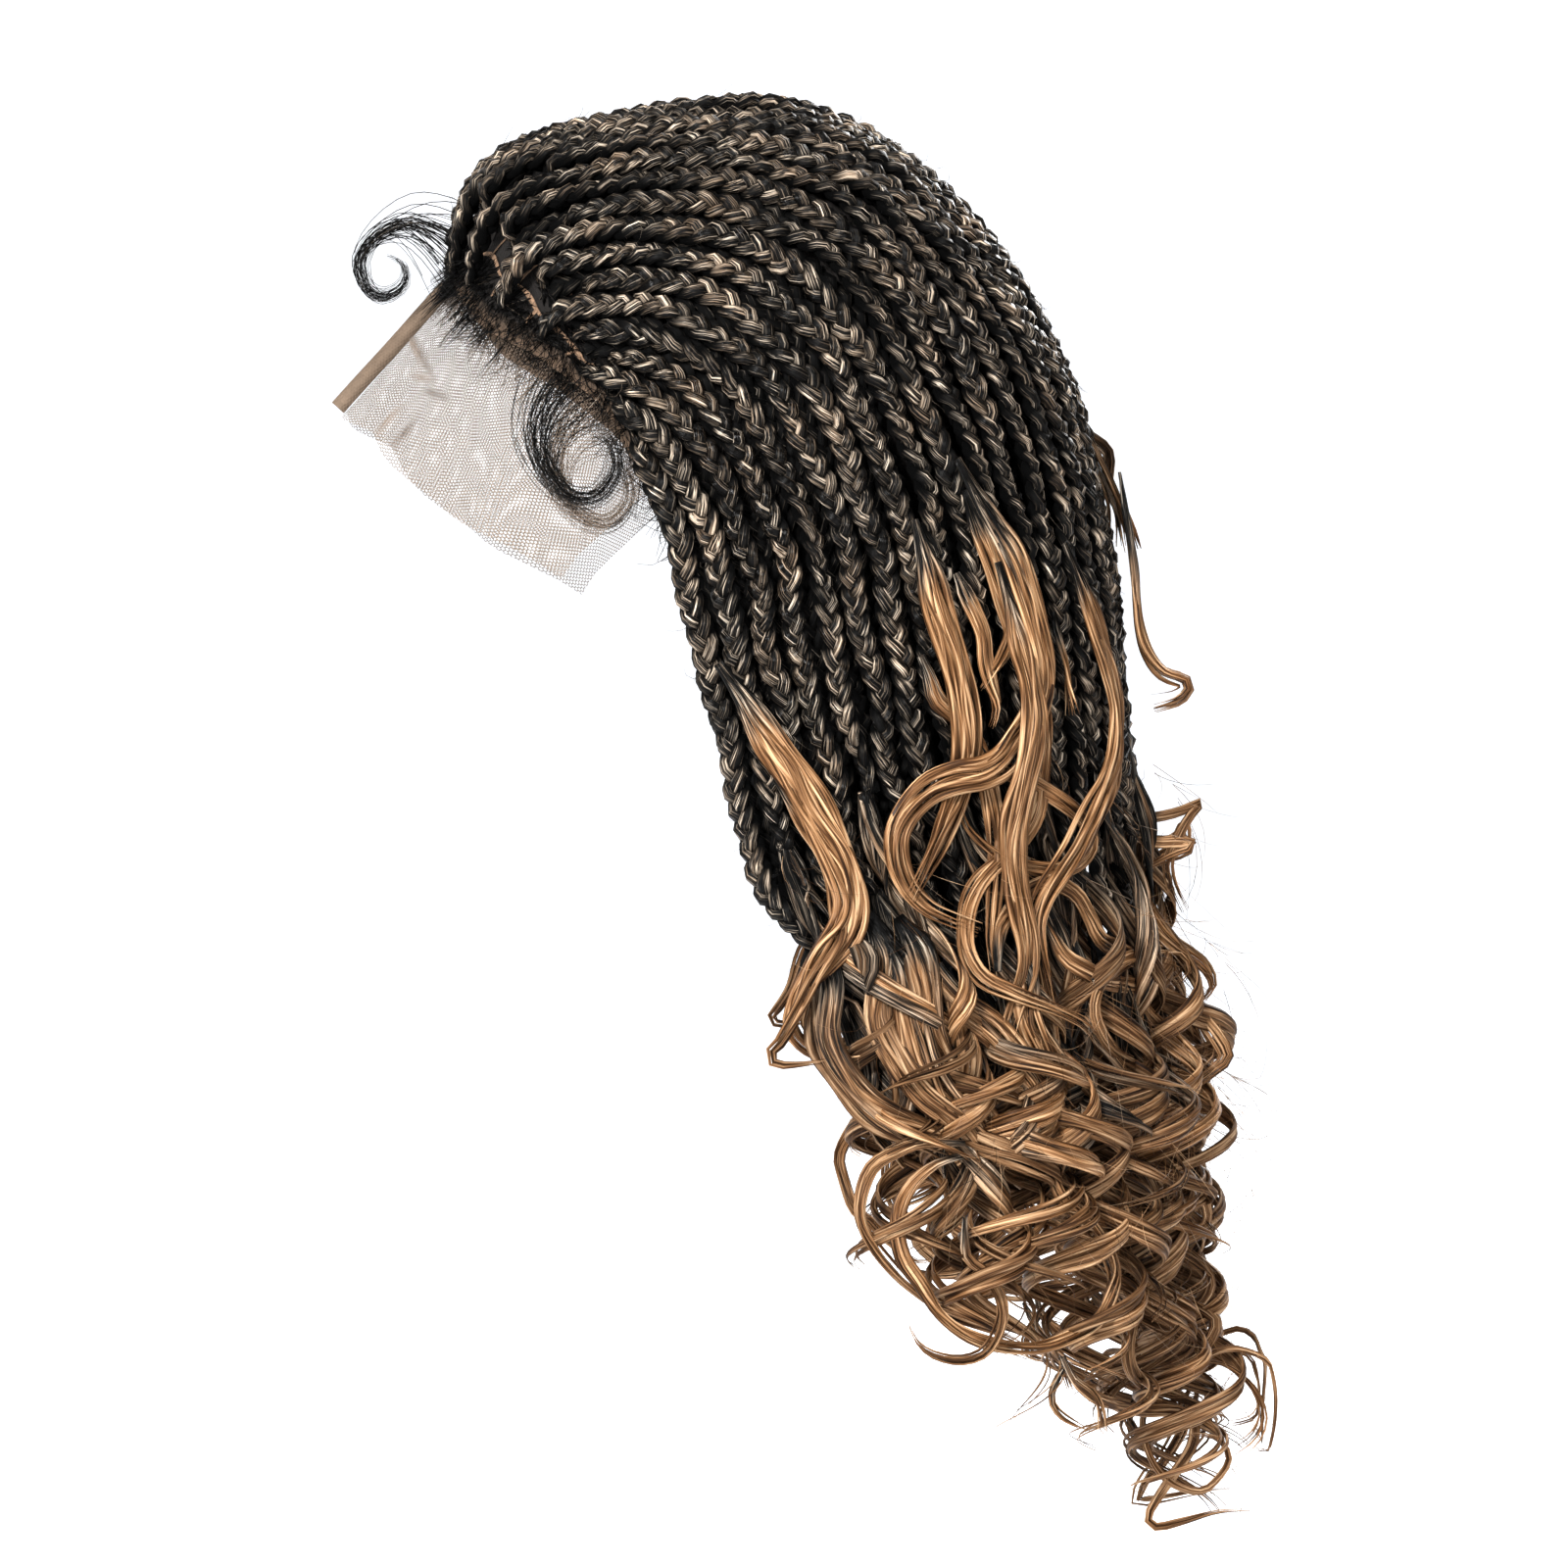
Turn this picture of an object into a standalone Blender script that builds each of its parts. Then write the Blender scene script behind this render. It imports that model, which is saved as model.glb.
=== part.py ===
"""Braid wig on a lace cap, in metres. +Z is up, the face looks along -Y, and the origin is where the head's crown
meets the inside of the cap. Two mirrored fans of box braids leave the cap, hang round the neck and end in curls."""

import math

import bmesh
import bpy
import numpy as np
from mathutils import Vector

# The head that the cap is cut for, measured from the point below the crown at the head's widest level
HEAD_HALF_WIDTH = 0.077
FOREHEAD_DEPTH = 0.099
OCCIPUT_DEPTH = 0.088
CROWN_HEIGHT = 0.095
NAPE_REACH = 0.125
HEAD_POWER = 2.2

# Lace and net
CAP_WALL = 0.0015
CAP_COLUMNS = 36
LACE_WALL = 0.0010
LACE_REACH = 0.060
EDGE_BAND_WIDTH = 0.0065
EDGE_BAND_WALL = 0.0012

# Hair
FALL_LENGTH = 0.330
BRAIDS_A_SIDE = 18
BRAID_RADIUS = 0.0046
ROOT_RADIUS = 0.0022
CURL_RADIUS = 0.0044
CURL_TIP_RADIUS = 0.0018
LOCK_RADIUS = 0.0038
LOCK_TIP_RADIUS = 0.0014
EDGE_CURL_RADIUS = 0.0012
LEAST_RADIUS = 0.0006
INNER_RIDGES = 16
RIDGE_DEPTH = 0.0025

# Clearances
PIECE_GAP = 0.0003
ROOT_GAP = 0.00003
LACE_DROP = 0.0013
SEAT_ROOM = 0.0011

# Spacing of the rings that a strand is drawn with: how far it may turn between two, and the longest straight run
PATH_STEP = 0.009
PLAIT_RING_TURN = 0.30
CURL_RING_TURN = 0.80
LONGEST_RUN = 0.046
SETTLE_ROUNDS = 34

# Cap rim: azimuth from the forehead in degrees, and its drop below the crown as a share of CROWN_HEIGHT
RIM = (
    (0, 0.53),
    (20, 0.62),
    (33, 0.76),
    (47, 0.86),
    (62, 1.03),
    (72, 1.30),
    (79, 1.53),
    (88, 1.55),
    (100, 1.38),
    (118, 1.55),
    (145, 1.75),
    (180, 1.84),
)

# Lace panel: azimuth on the rim in degrees, reach as a share of LACE_REACH, and how far it leans forward
LACE = (
    (0, 0.97, 0.67),
    (10, 0.93, 0.64),
    (20, 0.89, 0.56),
    (33, 0.93, 0.42),
    (47, 0.98, 0.35),
    (60, 0.96, 0.18),
    (70, 0.12, 0.10),
)

# Hoops that the braids cross, from the hairline over the crown and down. Each is a bowed arch from its edge, beside
# the face, to its middle. Across is a share of HEAD_HALF_WIDTH, back of FOREHEAD_DEPTH or OCCIPUT_DEPTH, head of
# CROWN_HEIGHT downwards and fall of FALL_LENGTH downwards.
# edge across, edge back, edge head, edge fall, middle back, middle head, middle fall
HOOPS = (
    (0.96, -0.32, 1.03, 0.00, -0.94, 0.51, 0.00),
    (1.03, -0.30, 1.00, 0.03, -0.87, 0.22, 0.00),
    (1.07, -0.28, 1.00, 0.05, -0.67, 0.055, 0.00),
    (1.09, -0.25, 1.00, 0.07, -0.30, -0.04, 0.00),
    (1.10, -0.22, 1.00, 0.10, 0.12, -0.085, 0.00),
    (1.11, -0.19, 1.00, 0.13, 0.58, 0.05, 0.00),
    (1.11, -0.17, 1.00, 0.17, 1.00, 0.41, 0.00),
    (1.11, -0.13, 1.00, 0.22, 1.27, 0.85, 0.00),
    (1.10, -0.09, 1.00, 0.29, 1.41, 1.00, 0.09),
    (1.09, -0.02, 1.00, 0.37, 1.48, 1.00, 0.24),
    (1.09, 0.10, 1.00, 0.47, 1.53, 1.00, 0.39),
    (1.12, 0.38, 1.00, 0.59, 1.58, 1.00, 0.55),
    (1.16, 0.57, 1.00, 0.71, 1.60, 1.00, 0.71),
    (1.16, 0.66, 1.00, 0.86, 1.60, 1.00, 0.88),
    (1.16, 0.72, 1.00, 1.02, 1.60, 1.00, 1.11),
)
HOOP_POWER = 2.25

# Braids take their roots in three rows of partings, one after the other, given as hoop numbers
ROOT_ROWS = (2.0, 1.0, 0.0)
# Where a plait opens into its curl and where the curl ends, as hoop numbers, one after the other along the fan
PLAIT_ENDS = (10.5, 9.6, 11.1, 10.1, 9.3, 10.8)
CURL_ENDS = (12.9, 12.2, 13.3, 12.6, 13.6)
# Extra hoops that the curls behind the neck run down by
BACK_LONGER = 0.6
# Curl: how far it swings out from its line, the length along that line for one turn, the turn from one braid's curl
# to the next, and how far outside the plaits the curls of each third braid hang
CURL_SWING = 0.0110
CURL_PITCH = 0.054
NEXT_CURL_TURN = 0.9
CURL_LAYERS = (0.0, 0.0080, 0.0160)

# Inner rows of braids: drop as a share of FALL_LENGTH below the widest level, inner half width and inner depth as
# shares of HEAD_HALF_WIDTH and OCCIPUT_DEPTH, thickness beside and behind the neck, and the front edge's angle
INNER_FALL = (
    (0.13, 0.992, 0.987, 0.0040, 0.0100, 88),
    (0.20, 0.935, 0.955, 0.0070, 0.0150, 85),
    (0.29, 0.910, 0.955, 0.0080, 0.0175, 82),
    (0.39, 0.900, 0.980, 0.0080, 0.0200, 76),
    (0.50, 0.910, 1.020, 0.0080, 0.0220, 69),
    (0.61, 0.950, 1.090, 0.0060, 0.0240, 60),
)

# Loose locks that leave their braids early and lie over the near side: across the side view, each point is its
# distance behind the crown's axis as a share of OCCIPUT_DEPTH and its drop as a share of FALL_LENGTH below the crown
LOOSE_LOCKS = (
    ((-0.02, 0.55), (0.16, 0.62), (0.32, 0.69), (0.44, 0.75), (0.46, 0.80), (0.33, 0.85), (0.26, 0.90), (0.40, 0.93),
     (0.62, 0.92)),
    ((0.69, 0.41), (0.80, 0.51), (0.88, 0.59), (0.88, 0.66), (0.79, 0.72), (0.67, 0.78)),
    ((0.85, 0.35), (1.00, 0.43), (1.13, 0.51), (1.16, 0.59), (0.99, 0.65), (0.74, 0.67), (0.62, 0.72), (0.70, 0.78),
     (0.92, 0.81)),
    ((1.00, 0.45), (1.12, 0.55), (1.10, 0.64), (1.04, 0.74), (1.10, 0.84), (1.02, 0.92)),
    ((1.25, 0.43), (1.38, 0.51), (1.46, 0.59), (1.42, 0.67), (1.27, 0.74), (1.15, 0.80), (1.20, 0.88)),
)
# The lock at the back: the same columns, and it stands off the curtain behind the head
BACK_LOCK = ((1.43, 0.35), (1.50, 0.44), (1.57, 0.51), (1.64, 0.55), (1.77, 0.57), (1.62, 0.585))
BACK_LOCK_ACROSS = 0.008

# Edge curls: root and ring centre in the side view, as shares of FOREHEAD_DEPTH ahead of the crown's axis and of
# CROWN_HEIGHT below the crown
EDGE_RING = 0.0120
FRONT_CURL = {"root": (0.97, 0.46), "centre": (1.12, 0.46), "across": 0.15}
SIDE_CURL = {"root": (0.47, 0.93), "centre": (0.51, 1.18), "across": 0.90}

HAIR_BLACK = (0.016, 0.013, 0.011)
HAIR_HONEY = (0.33, 0.19, 0.10)
LACE_TAN = (0.42, 0.30, 0.21)
NET_BROWN = (0.20, 0.13, 0.09)


def clear_scene():
    """Removes what a new Blender file holds."""
    for old in list(bpy.data.objects):
        bpy.data.objects.remove(old)


def material(name, colour, roughness):
    made = bpy.data.materials.new(name)
    made.use_nodes = True
    shader = made.node_tree.nodes["Principled BSDF"]
    shader.inputs["Base Color"].default_value = (*colour, 1.0)
    shader.inputs["Roughness"].default_value = roughness
    shader.inputs["Metallic"].default_value = 0.0
    return made


def spline_rows(rows, at):
    """A smooth curve through the rows of a table, read at row numbers that may lie between rows."""
    table = np.asarray(rows, float)
    at = np.clip(np.asarray(at, float), 0.0, len(table) - 1.0)
    low = np.minimum(at.astype(int), len(table) - 2)
    share = (at - low)[:, None]
    before = table[np.maximum(low - 1, 0)]
    here, there = table[low], table[low + 1]
    after = table[np.minimum(low + 2, len(table) - 1)]
    square, cube = share**2, share**3
    return 0.5 * (
        2 * here
        + (there - before) * share
        + (2 * before - 5 * here + 4 * there - after) * square
        + (3 * here - before - 3 * there + after) * cube
    )


def depth_of(share):
    """Distance behind the crown's axis, from a share of the forehead's or the occiput's depth."""
    return np.where(share < 0, share * FOREHEAD_DEPTH, share * OCCIPUT_DEPTH)


def unit(vectors):
    return vectors / np.linalg.norm(vectors, axis=-1, keepdims=True)


# Head form

def head_reach(directions, room):
    """How far the head, grown by room, reaches from its centre along unit directions."""
    depth = np.where(directions[:, 1] < 0, FOREHEAD_DEPTH, OCCIPUT_DEPTH) + room
    height = np.where(directions[:, 2] > 0, CROWN_HEIGHT, NAPE_REACH) + room
    terms = (
        np.abs(directions[:, 0] / (HEAD_HALF_WIDTH + room)) ** HEAD_POWER
        + np.abs(directions[:, 1] / depth) ** HEAD_POWER
        + np.abs(directions[:, 2] / height) ** HEAD_POWER
    )
    return terms ** (-1.0 / HEAD_POWER)


HEAD_CENTRE = np.array([0.0, 0.0, -CROWN_HEIGHT])


def on_head(points, room):
    """The points moved along the line from the head's centre until they stand room off the head."""
    directions = unit(points - HEAD_CENTRE)
    return HEAD_CENTRE + directions * head_reach(directions, room)[:, None]


def off_head(points, room):
    """The points that lie nearer the head than room, moved out to it."""
    spokes = points - HEAD_CENTRE
    lengths = np.linalg.norm(spokes, axis=1)
    directions = spokes / lengths[:, None]
    least = head_reach(directions, room)
    return HEAD_CENTRE + directions * np.maximum(lengths, least)[:, None]


def off_cap(points):
    """How far points stand off the cap's outer face, by the spoke from the head's centre."""
    spokes = points - HEAD_CENTRE
    lengths = np.linalg.norm(spokes, axis=1)
    reach = head_reach(spokes / lengths[:, None], CAP_WALL)
    return (lengths - reach) * 0.97


def seated(root, after, radius):
    """A strand's first point, set so that the rim of its end disc rests on the cap."""
    for _ in range(3):
        outward = unit(root - HEAD_CENTRE)
        climb = float(outward @ unit(after - root))
        room = CAP_WALL + ROOT_GAP + radius * math.sqrt(max(0.0, 1.0 - climb**2))
        root = on_head(root[None, :], room)[0]
    return root


def rim_point(azimuth, room, lower=0.0):
    """A point of the rim on the head grown by room, at an azimuth in degrees from the forehead."""
    drop = float(np.interp(abs(azimuth), [row[0] for row in RIM], [row[1] for row in RIM])) * CROWN_HEIGHT + lower
    below = CROWN_HEIGHT - drop
    height = (CROWN_HEIGHT if below > 0 else NAPE_REACH) + room
    level = (1.0 - abs(below / height) ** HEAD_POWER) ** (1.0 / HEAD_POWER)
    turn = math.radians(azimuth)
    across, back = math.sin(turn), -math.cos(turn)
    depth = (FOREHEAD_DEPTH if back < 0 else OCCIPUT_DEPTH) + room
    reach = (
        abs(across / (HEAD_HALF_WIDTH + room)) ** HEAD_POWER + abs(back / depth) ** HEAD_POWER
    ) ** (-1.0 / HEAD_POWER)
    return Vector((level * reach * across, level * reach * back, -drop))


# Hair fan

def hoop_points(fan, at):
    """Points of the braid layer: fan is 0 beside the face and 1 at the middle, at is a hoop number for each point."""
    rows = spline_rows(HOOPS, at)
    edge = np.stack(
        [
            rows[:, 0] * HEAD_HALF_WIDTH,
            depth_of(rows[:, 1]),
            -rows[:, 2] * CROWN_HEIGHT - rows[:, 3] * FALL_LENGTH,
        ],
        axis=1,
    )
    middle_back = depth_of(rows[:, 4])
    middle_drop = -rows[:, 5] * CROWN_HEIGHT - rows[:, 6] * FALL_LENGTH
    turns = np.linspace(0.0, math.pi / 2, 49)
    outward = np.cos(turns) ** (2.0 / HOOP_POWER)
    along = np.sin(turns) ** (2.0 / HOOP_POWER)
    found = np.zeros((len(rows), 3))
    for i in range(len(rows)):
        arch = np.stack(
            [
                edge[i, 0] * outward,
                edge[i, 1] + (middle_back[i] - edge[i, 1]) * along,
                edge[i, 2] + (middle_drop[i] - edge[i, 2]) * along,
            ],
            axis=1,
        )
        steps = np.linalg.norm(np.diff(arch, axis=0), axis=1)
        length = np.concatenate([[0.0], np.cumsum(steps)])
        for axis in range(3):
            found[i, axis] = np.interp(fan * length[-1], length, arch[:, axis])
    return found


def resample(points, step):
    """The same line with points an even distance apart, near step."""
    lengths = np.concatenate([[0.0], np.cumsum(np.linalg.norm(np.diff(points, axis=0), axis=1))])
    count = max(2, int(round(lengths[-1] / step)) + 1)
    at = np.linspace(0.0, lengths[-1], count)
    return np.stack([np.interp(at, lengths, points[:, axis]) for axis in range(3)], axis=1)


def outward_of(points):
    """Level directions away from the neck's axis."""
    level = points * np.array([1.0, 1.0, 0.0]) - np.array([0.0, 0.25 * OCCIPUT_DEPTH, 0.0])
    return unit(level)


def braid_line(number):
    """Centre line of one braid on the left, plait then curl, with the count of plait points."""
    fan = (number + 0.5) / BRAIDS_A_SIDE
    start = ROOT_ROWS[number % len(ROOT_ROWS)]
    opens = PLAIT_ENDS[number % len(PLAIT_ENDS)]
    ends = CURL_ENDS[number % len(CURL_ENDS)] + BACK_LONGER * fan**3
    plait = hoop_points(fan, np.linspace(start, opens, 60))
    room = CAP_WALL + PIECE_GAP
    plait[0] = on_head(plait[:1], room + ROOT_RADIUS)[0]
    plait[1:] = off_head(plait[1:], room + BRAID_RADIUS)
    line = hoop_points(fan, np.linspace(opens, ends, 60))
    length = np.concatenate([[0.0], np.cumsum(np.linalg.norm(np.diff(line, axis=0), axis=1))])
    grow = np.clip(length / CURL_PITCH, 0.0, 1.0)
    turn = 2 * math.pi * -line[:, 2] / CURL_PITCH + number * NEXT_CURL_TURN
    out = outward_of(line)
    aside = np.cross(np.array([0.0, 0.0, 1.0]), out)
    stand = CURL_LAYERS[number % len(CURL_LAYERS)] + CURL_SWING * (0.6 - np.cos(turn))
    curl = line + out * (grow * stand)[:, None] + aside * (grow * CURL_SWING * np.sin(turn))[:, None]
    plait = resample(plait, PATH_STEP)
    curl = resample(curl, PATH_STEP)[1:]
    return np.concatenate([plait, curl]), len(plait)


def fan_grid():
    """Points of the left braid layer, closely spaced, to read how far across it stands."""
    at = np.linspace(0.0, len(HOOPS) - 1.0, 90)
    return np.concatenate([hoop_points(fan, at) for fan in np.linspace(0.0, 1.0, 41)])


def over_layer(side_points, grid, stand):
    """Points given by depth and drop in the side view, laid on the left braid layer and moved across by stand."""
    placed = []
    for back, drop in side_points:
        gap = np.hypot(grid[:, 1] - back, grid[:, 2] + drop)
        placed.append(np.array([grid[int(np.argmin(gap)), 0], back, -drop]))
    placed = np.array(placed)
    placed[:, 0] += stand / np.maximum(outward_of(placed)[:, 0], 0.5)
    return placed


def smooth_line(points):
    return resample(spline_rows(points, np.linspace(0.0, len(points) - 1.0, 8 * len(points))), PATH_STEP)


def lock_line(shares, grid):
    rows = [(depth_of(np.array(back)), drop * FALL_LENGTH) for back, drop in shares]
    return smooth_line(over_layer(rows, grid, BRAID_RADIUS + LOCK_RADIUS))


def back_lock_line(shares, grid):
    """The lock that leaves the curtain behind the head."""
    middle = grid[grid[:, 0] < BRAID_RADIUS]
    placed = []
    for back, drop in shares:
        drop = drop * FALL_LENGTH
        layer = middle[int(np.argmin(np.abs(middle[:, 2] + drop) - (middle[:, 1] > 0)))][1]
        least = layer + BRAID_RADIUS + LOCK_RADIUS + PIECE_GAP
        placed.append((BACK_LOCK_ACROSS, max(float(depth_of(np.array(back))), least), -drop))
    return smooth_line(np.array(placed))


# Inner fall

def inner_row(at):
    """Drop below the crown, inner and outer half width, inner and outer depth, and edge angle at a row number."""
    drop, width, depth, beside, behind, edge = spline_rows(INNER_FALL, [at])[0]
    across = width * HEAD_HALF_WIDTH
    back = depth * OCCIPUT_DEPTH
    return CROWN_HEIGHT + drop * FALL_LENGTH, across, back, beside, behind, math.radians(edge)


def seat_reach(turn, drop, room):
    """How far out the capped head grown by room reaches at a drop, at an angle from straight back."""
    below = drop - CROWN_HEIGHT
    level = max(0.0, 1.0 - (below / (NAPE_REACH + room)) ** HEAD_POWER) ** (1.0 / HEAD_POWER)
    across, back = abs(math.sin(turn)), math.cos(turn)
    depth = (OCCIPUT_DEPTH if back > 0 else FOREHEAD_DEPTH) + room
    terms = (across / (HEAD_HALF_WIDTH + room)) ** HEAD_POWER + abs(back / depth) ** HEAD_POWER
    return level * terms ** (-1.0 / HEAD_POWER)


def inner_reach(turn, at, outer):
    """How far the inner fall's inner or outer face stands from the neck's axis, at an angle from straight back."""
    drop, across, back, beside, behind, _ = inner_row(at)
    sideways = math.sin(turn) ** 2
    bow = (
        (abs(math.sin(turn)) / across) ** HEAD_POWER + (abs(math.cos(turn)) / back) ** HEAD_POWER
    ) ** (-1.0 / HEAD_POWER)
    inner = max(bow, seat_reach(turn, drop, CAP_WALL + PIECE_GAP + SEAT_ROOM))
    if not outer:
        return inner
    return max(bow + behind + (beside - behind) * sideways, inner + beside)


def inner_fall_reach(points):
    """For each point, the inner fall's outer face at its height and angle, or nothing where the fall isn't."""
    drops = np.array([CROWN_HEIGHT + row[0] * FALL_LENGTH for row in INNER_FALL])
    rows = np.arange(len(INNER_FALL), dtype=float)
    turns = np.abs(np.arctan2(points[:, 0], points[:, 1]))
    reach = np.zeros(len(points))
    for i, (turn, drop) in enumerate(zip(turns, -points[:, 2])):
        if drop < drops[0] - BRAID_RADIUS or drop > drops[-1] + BRAID_RADIUS:
            continue
        at = float(np.interp(drop, drops, rows))
        if turn < inner_row(at)[5] + 0.1:
            reach[i] = inner_reach(turn, at, True)
    return reach


def off_inner_fall(points, room):
    reach = inner_fall_reach(points) + room
    level = np.linalg.norm(points[:, :2], axis=1)
    out = np.where((reach > room) & (level < reach), reach / np.maximum(level, 1e-6), 1.0)
    moved = points.copy()
    moved[:, :2] *= out[:, None]
    return moved


# Spacing

def wanted_radii(count, plait_count):
    """Radius wanted at each point of a strand: a root, a plait and a curl, or a loose lock alone."""
    share = np.linspace(0.0, 1.0, count - plait_count)
    if plait_count == 0:
        return LOCK_RADIUS + (LOCK_TIP_RADIUS - LOCK_RADIUS) * share**2
    radii = np.full(count, BRAID_RADIUS)
    radii[:4] = np.linspace(ROOT_RADIUS, BRAID_RADIUS, 4)
    radii[plait_count:] = CURL_RADIUS + (CURL_TIP_RADIUS - CURL_RADIUS) * share**2
    return radii


def line_parts(lines):
    """The lines' points in one array, the number of the first point of each part, and the line that it is on."""
    starts, owners, first = [], [], 0
    for i, line in enumerate(lines):
        starts.extend(range(first, first + len(line) - 1))
        owners.extend([i] * (len(line) - 1))
        first += len(line)
    return np.concatenate(lines), np.array(starts), np.array(owners)


def near_parts(knots, starts, owners, reach):
    """Pairs of parts of two lines that come within reach, with the nearest places along each."""
    low, run = knots[starts], knots[starts + 1] - knots[starts]
    middle, half = low + run / 2, np.linalg.norm(run, axis=1) / 2
    square = (middle**2).sum(axis=1)
    apart = square[:, None] + square[None, :] - 2 * middle @ middle.T
    limit = (half[:, None] + half[None, :] + reach) ** 2
    one, other = np.nonzero((apart < limit) & (owners[:, None] < owners[None, :]))
    a, b = run[one], run[other]
    gap = low[one] - low[other]
    aa, bb, ab = (a * a).sum(1), (b * b).sum(1), (a * b).sum(1)
    ag, bg = (a * gap).sum(1), (b * gap).sum(1)
    share = np.clip((ab * bg - ag * bb) / np.maximum(aa * bb - ab * ab, 1e-14), 0.0, 1.0)
    for _ in range(2):
        opposite = np.clip((ab * share + bg) / bb, 0.0, 1.0)
        share = np.clip((ab * opposite - ag) / aa, 0.0, 1.0)
    opposite = np.clip((ab * share + bg) / bb, 0.0, 1.0)
    return one, other, share, opposite


def at_shares(values, first, share):
    share = share if values.ndim == 1 else share[:, None]
    return values[first] * (1 - share) + values[first + 1] * share


def settle(lines, radii, smooth):
    """Moves the strands until each pair stands clear, while they stay off the cap and the inner fall."""
    knots, starts, owners = line_parts(lines)
    wide = np.concatenate(radii)
    ends = np.cumsum([len(line) for line in lines])
    roots = np.concatenate([[0], ends[:-1]])
    rest = knots.copy()
    inner = np.ones(len(knots), bool)
    inner[roots] = inner[ends - 1] = False
    for _ in range(SETTLE_ROUNDS):
        moves = np.zeros_like(knots)
        weights = np.full(len(knots), 1e-9)

        def push(first, share, shift):
            for knot, weight in ((first, 1 - share), (first + 1, share)):
                weight = weight / ((1 - share) ** 2 + share**2)
                np.add.at(moves, knot, shift * weight[:, None])
                np.add.at(weights, knot, np.where(np.abs(shift).sum(axis=1) > 0, weight, 0.0))

        one, other, share, opposite = near_parts(knots, starts, owners, 2 * BRAID_RADIUS + PIECE_GAP)
        here, there = starts[one], starts[other]
        apart = at_shares(knots, here, share) - at_shares(knots, there, opposite)
        length = np.linalg.norm(apart, axis=1)
        need = at_shares(wide, here, share) + at_shares(wide, there, opposite) + 1.3 * PIECE_GAP
        shift = apart * (np.clip(need - length, 0.0, None) / 2 / np.maximum(length, 1e-6))[:, None]
        push(here, share, shift)
        push(there, opposite, -shift)
        for share in (0.0, 0.33, 0.67):
            share = np.full(len(starts), share)
            places = at_shares(knots, starts, share)
            room = at_shares(wide, starts, share) + 1.3 * PIECE_GAP
            clear = off_head(off_inner_fall(places, room), CAP_WALL + room)
            clear[:, 0] = np.maximum(clear[:, 0], room)
            push(starts, share, 2 * (clear - places))
        shifted = knots + moves / np.maximum(weights, 1.0)[:, None] - rest
        middle = (np.roll(shifted, 1, axis=0) + np.roll(shifted, -1, axis=0)) / 2
        shifted[inner] += (middle[inner] - shifted[inner]) * smooth
        shifted[roots] = 0.0
        knots = rest + shifted
    return np.split(knots, ends[:-1])


def ring_numbers(line, plait_count):
    """Which points of a strand carry a ring: where it has turned far enough, or run straight for long enough."""
    runs = np.diff(line, axis=0)
    lengths = np.linalg.norm(runs, axis=1)
    ahead = runs / lengths[:, None]
    bends = np.arccos(np.clip((ahead[:-1] * ahead[1:]).sum(axis=1), -1.0, 1.0))
    picked, turned, run = [0], 0.0, lengths[0]
    for i in range(1, len(line) - 1):
        turned += bends[i - 1]
        most = PLAIT_RING_TURN if i < plait_count else CURL_RING_TURN
        if turned >= most or run + lengths[i] > LONGEST_RUN or i == 1 and plait_count:
            picked.append(i)
            turned, run = 0.0, 0.0
        run += lengths[i]
    return picked + [len(line) - 1]


def fitted_radii(lines, radii):
    """The radii, less where two strands or a strand and the inner fall would come nearer than the gap."""
    knots, starts, owners = line_parts(lines)
    wide = np.concatenate(radii)
    least = wide.copy()
    one, other, share, opposite = near_parts(knots, starts, owners, 2 * BRAID_RADIUS + PIECE_GAP)
    here, there = starts[one], starts[other]
    length = np.linalg.norm(at_shares(knots, here, share) - at_shares(knots, there, opposite), axis=1)
    near, far = at_shares(wide, here, share), at_shares(wide, there, opposite)
    scale = np.clip((length - PIECE_GAP) / (near + far), 0.0, 1.0)
    for first, radius in ((here, near), (there, far)):
        np.minimum.at(least, first, np.where(scale < 1, radius * scale, 1.0))
        np.minimum.at(least, first + 1, np.where(scale < 1, radius * scale, 1.0))
    for share in np.linspace(0.0, 1.0, 9):
        places = at_shares(knots, starts, np.full(len(starts), share))
        reach = inner_fall_reach(places)
        level = np.linalg.norm(places[:, :2], axis=1)
        room = np.where(reach > 0, level - reach, 1.0) - PIECE_GAP
        room = np.minimum(room, places[:, 0] - PIECE_GAP / 2)
        room = np.minimum(room, off_cap(places) - PIECE_GAP)
        np.minimum.at(least, starts, room)
        np.minimum.at(least, starts + 1, room)
    ends = np.cumsum([len(line) for line in lines])
    return np.split(np.maximum(least, LEAST_RADIUS), ends[:-1])


# Pieces

def tube(name, points, radii, finish, nominal, collection, mirrored):
    """A strand as a round curve whose radius follows the list, on the left or mirrored to the right."""
    data = bpy.data.curves.new(name, "CURVE")
    data.dimensions = "3D"
    data.bevel_depth = nominal
    data.bevel_resolution = 1
    data.use_fill_caps = True
    spline = data.splines.new("POLY")
    spline.points.add(len(points) - 1)
    side = -1.0 if mirrored else 1.0
    for knot, point, radius in zip(spline.points, points, radii):
        knot.co = (side * point[0], point[1], point[2], 1.0)
        knot.radius = radius / nominal
    data.materials.append(finish)
    made = bpy.data.objects.new(name, data)
    collection.objects.link(made)
    return made


def shell_object(name, mesh, finish, wall, collection):
    """A sheet thickened outwards to its wall."""
    mesh.materials.append(finish)
    made = bpy.data.objects.new(name, mesh)
    collection.objects.link(made)
    solid = made.modifiers.new("wall", "SOLIDIFY")
    solid.thickness = wall
    solid.offset = 1.0
    solid.use_even_offset = True
    return made


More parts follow.
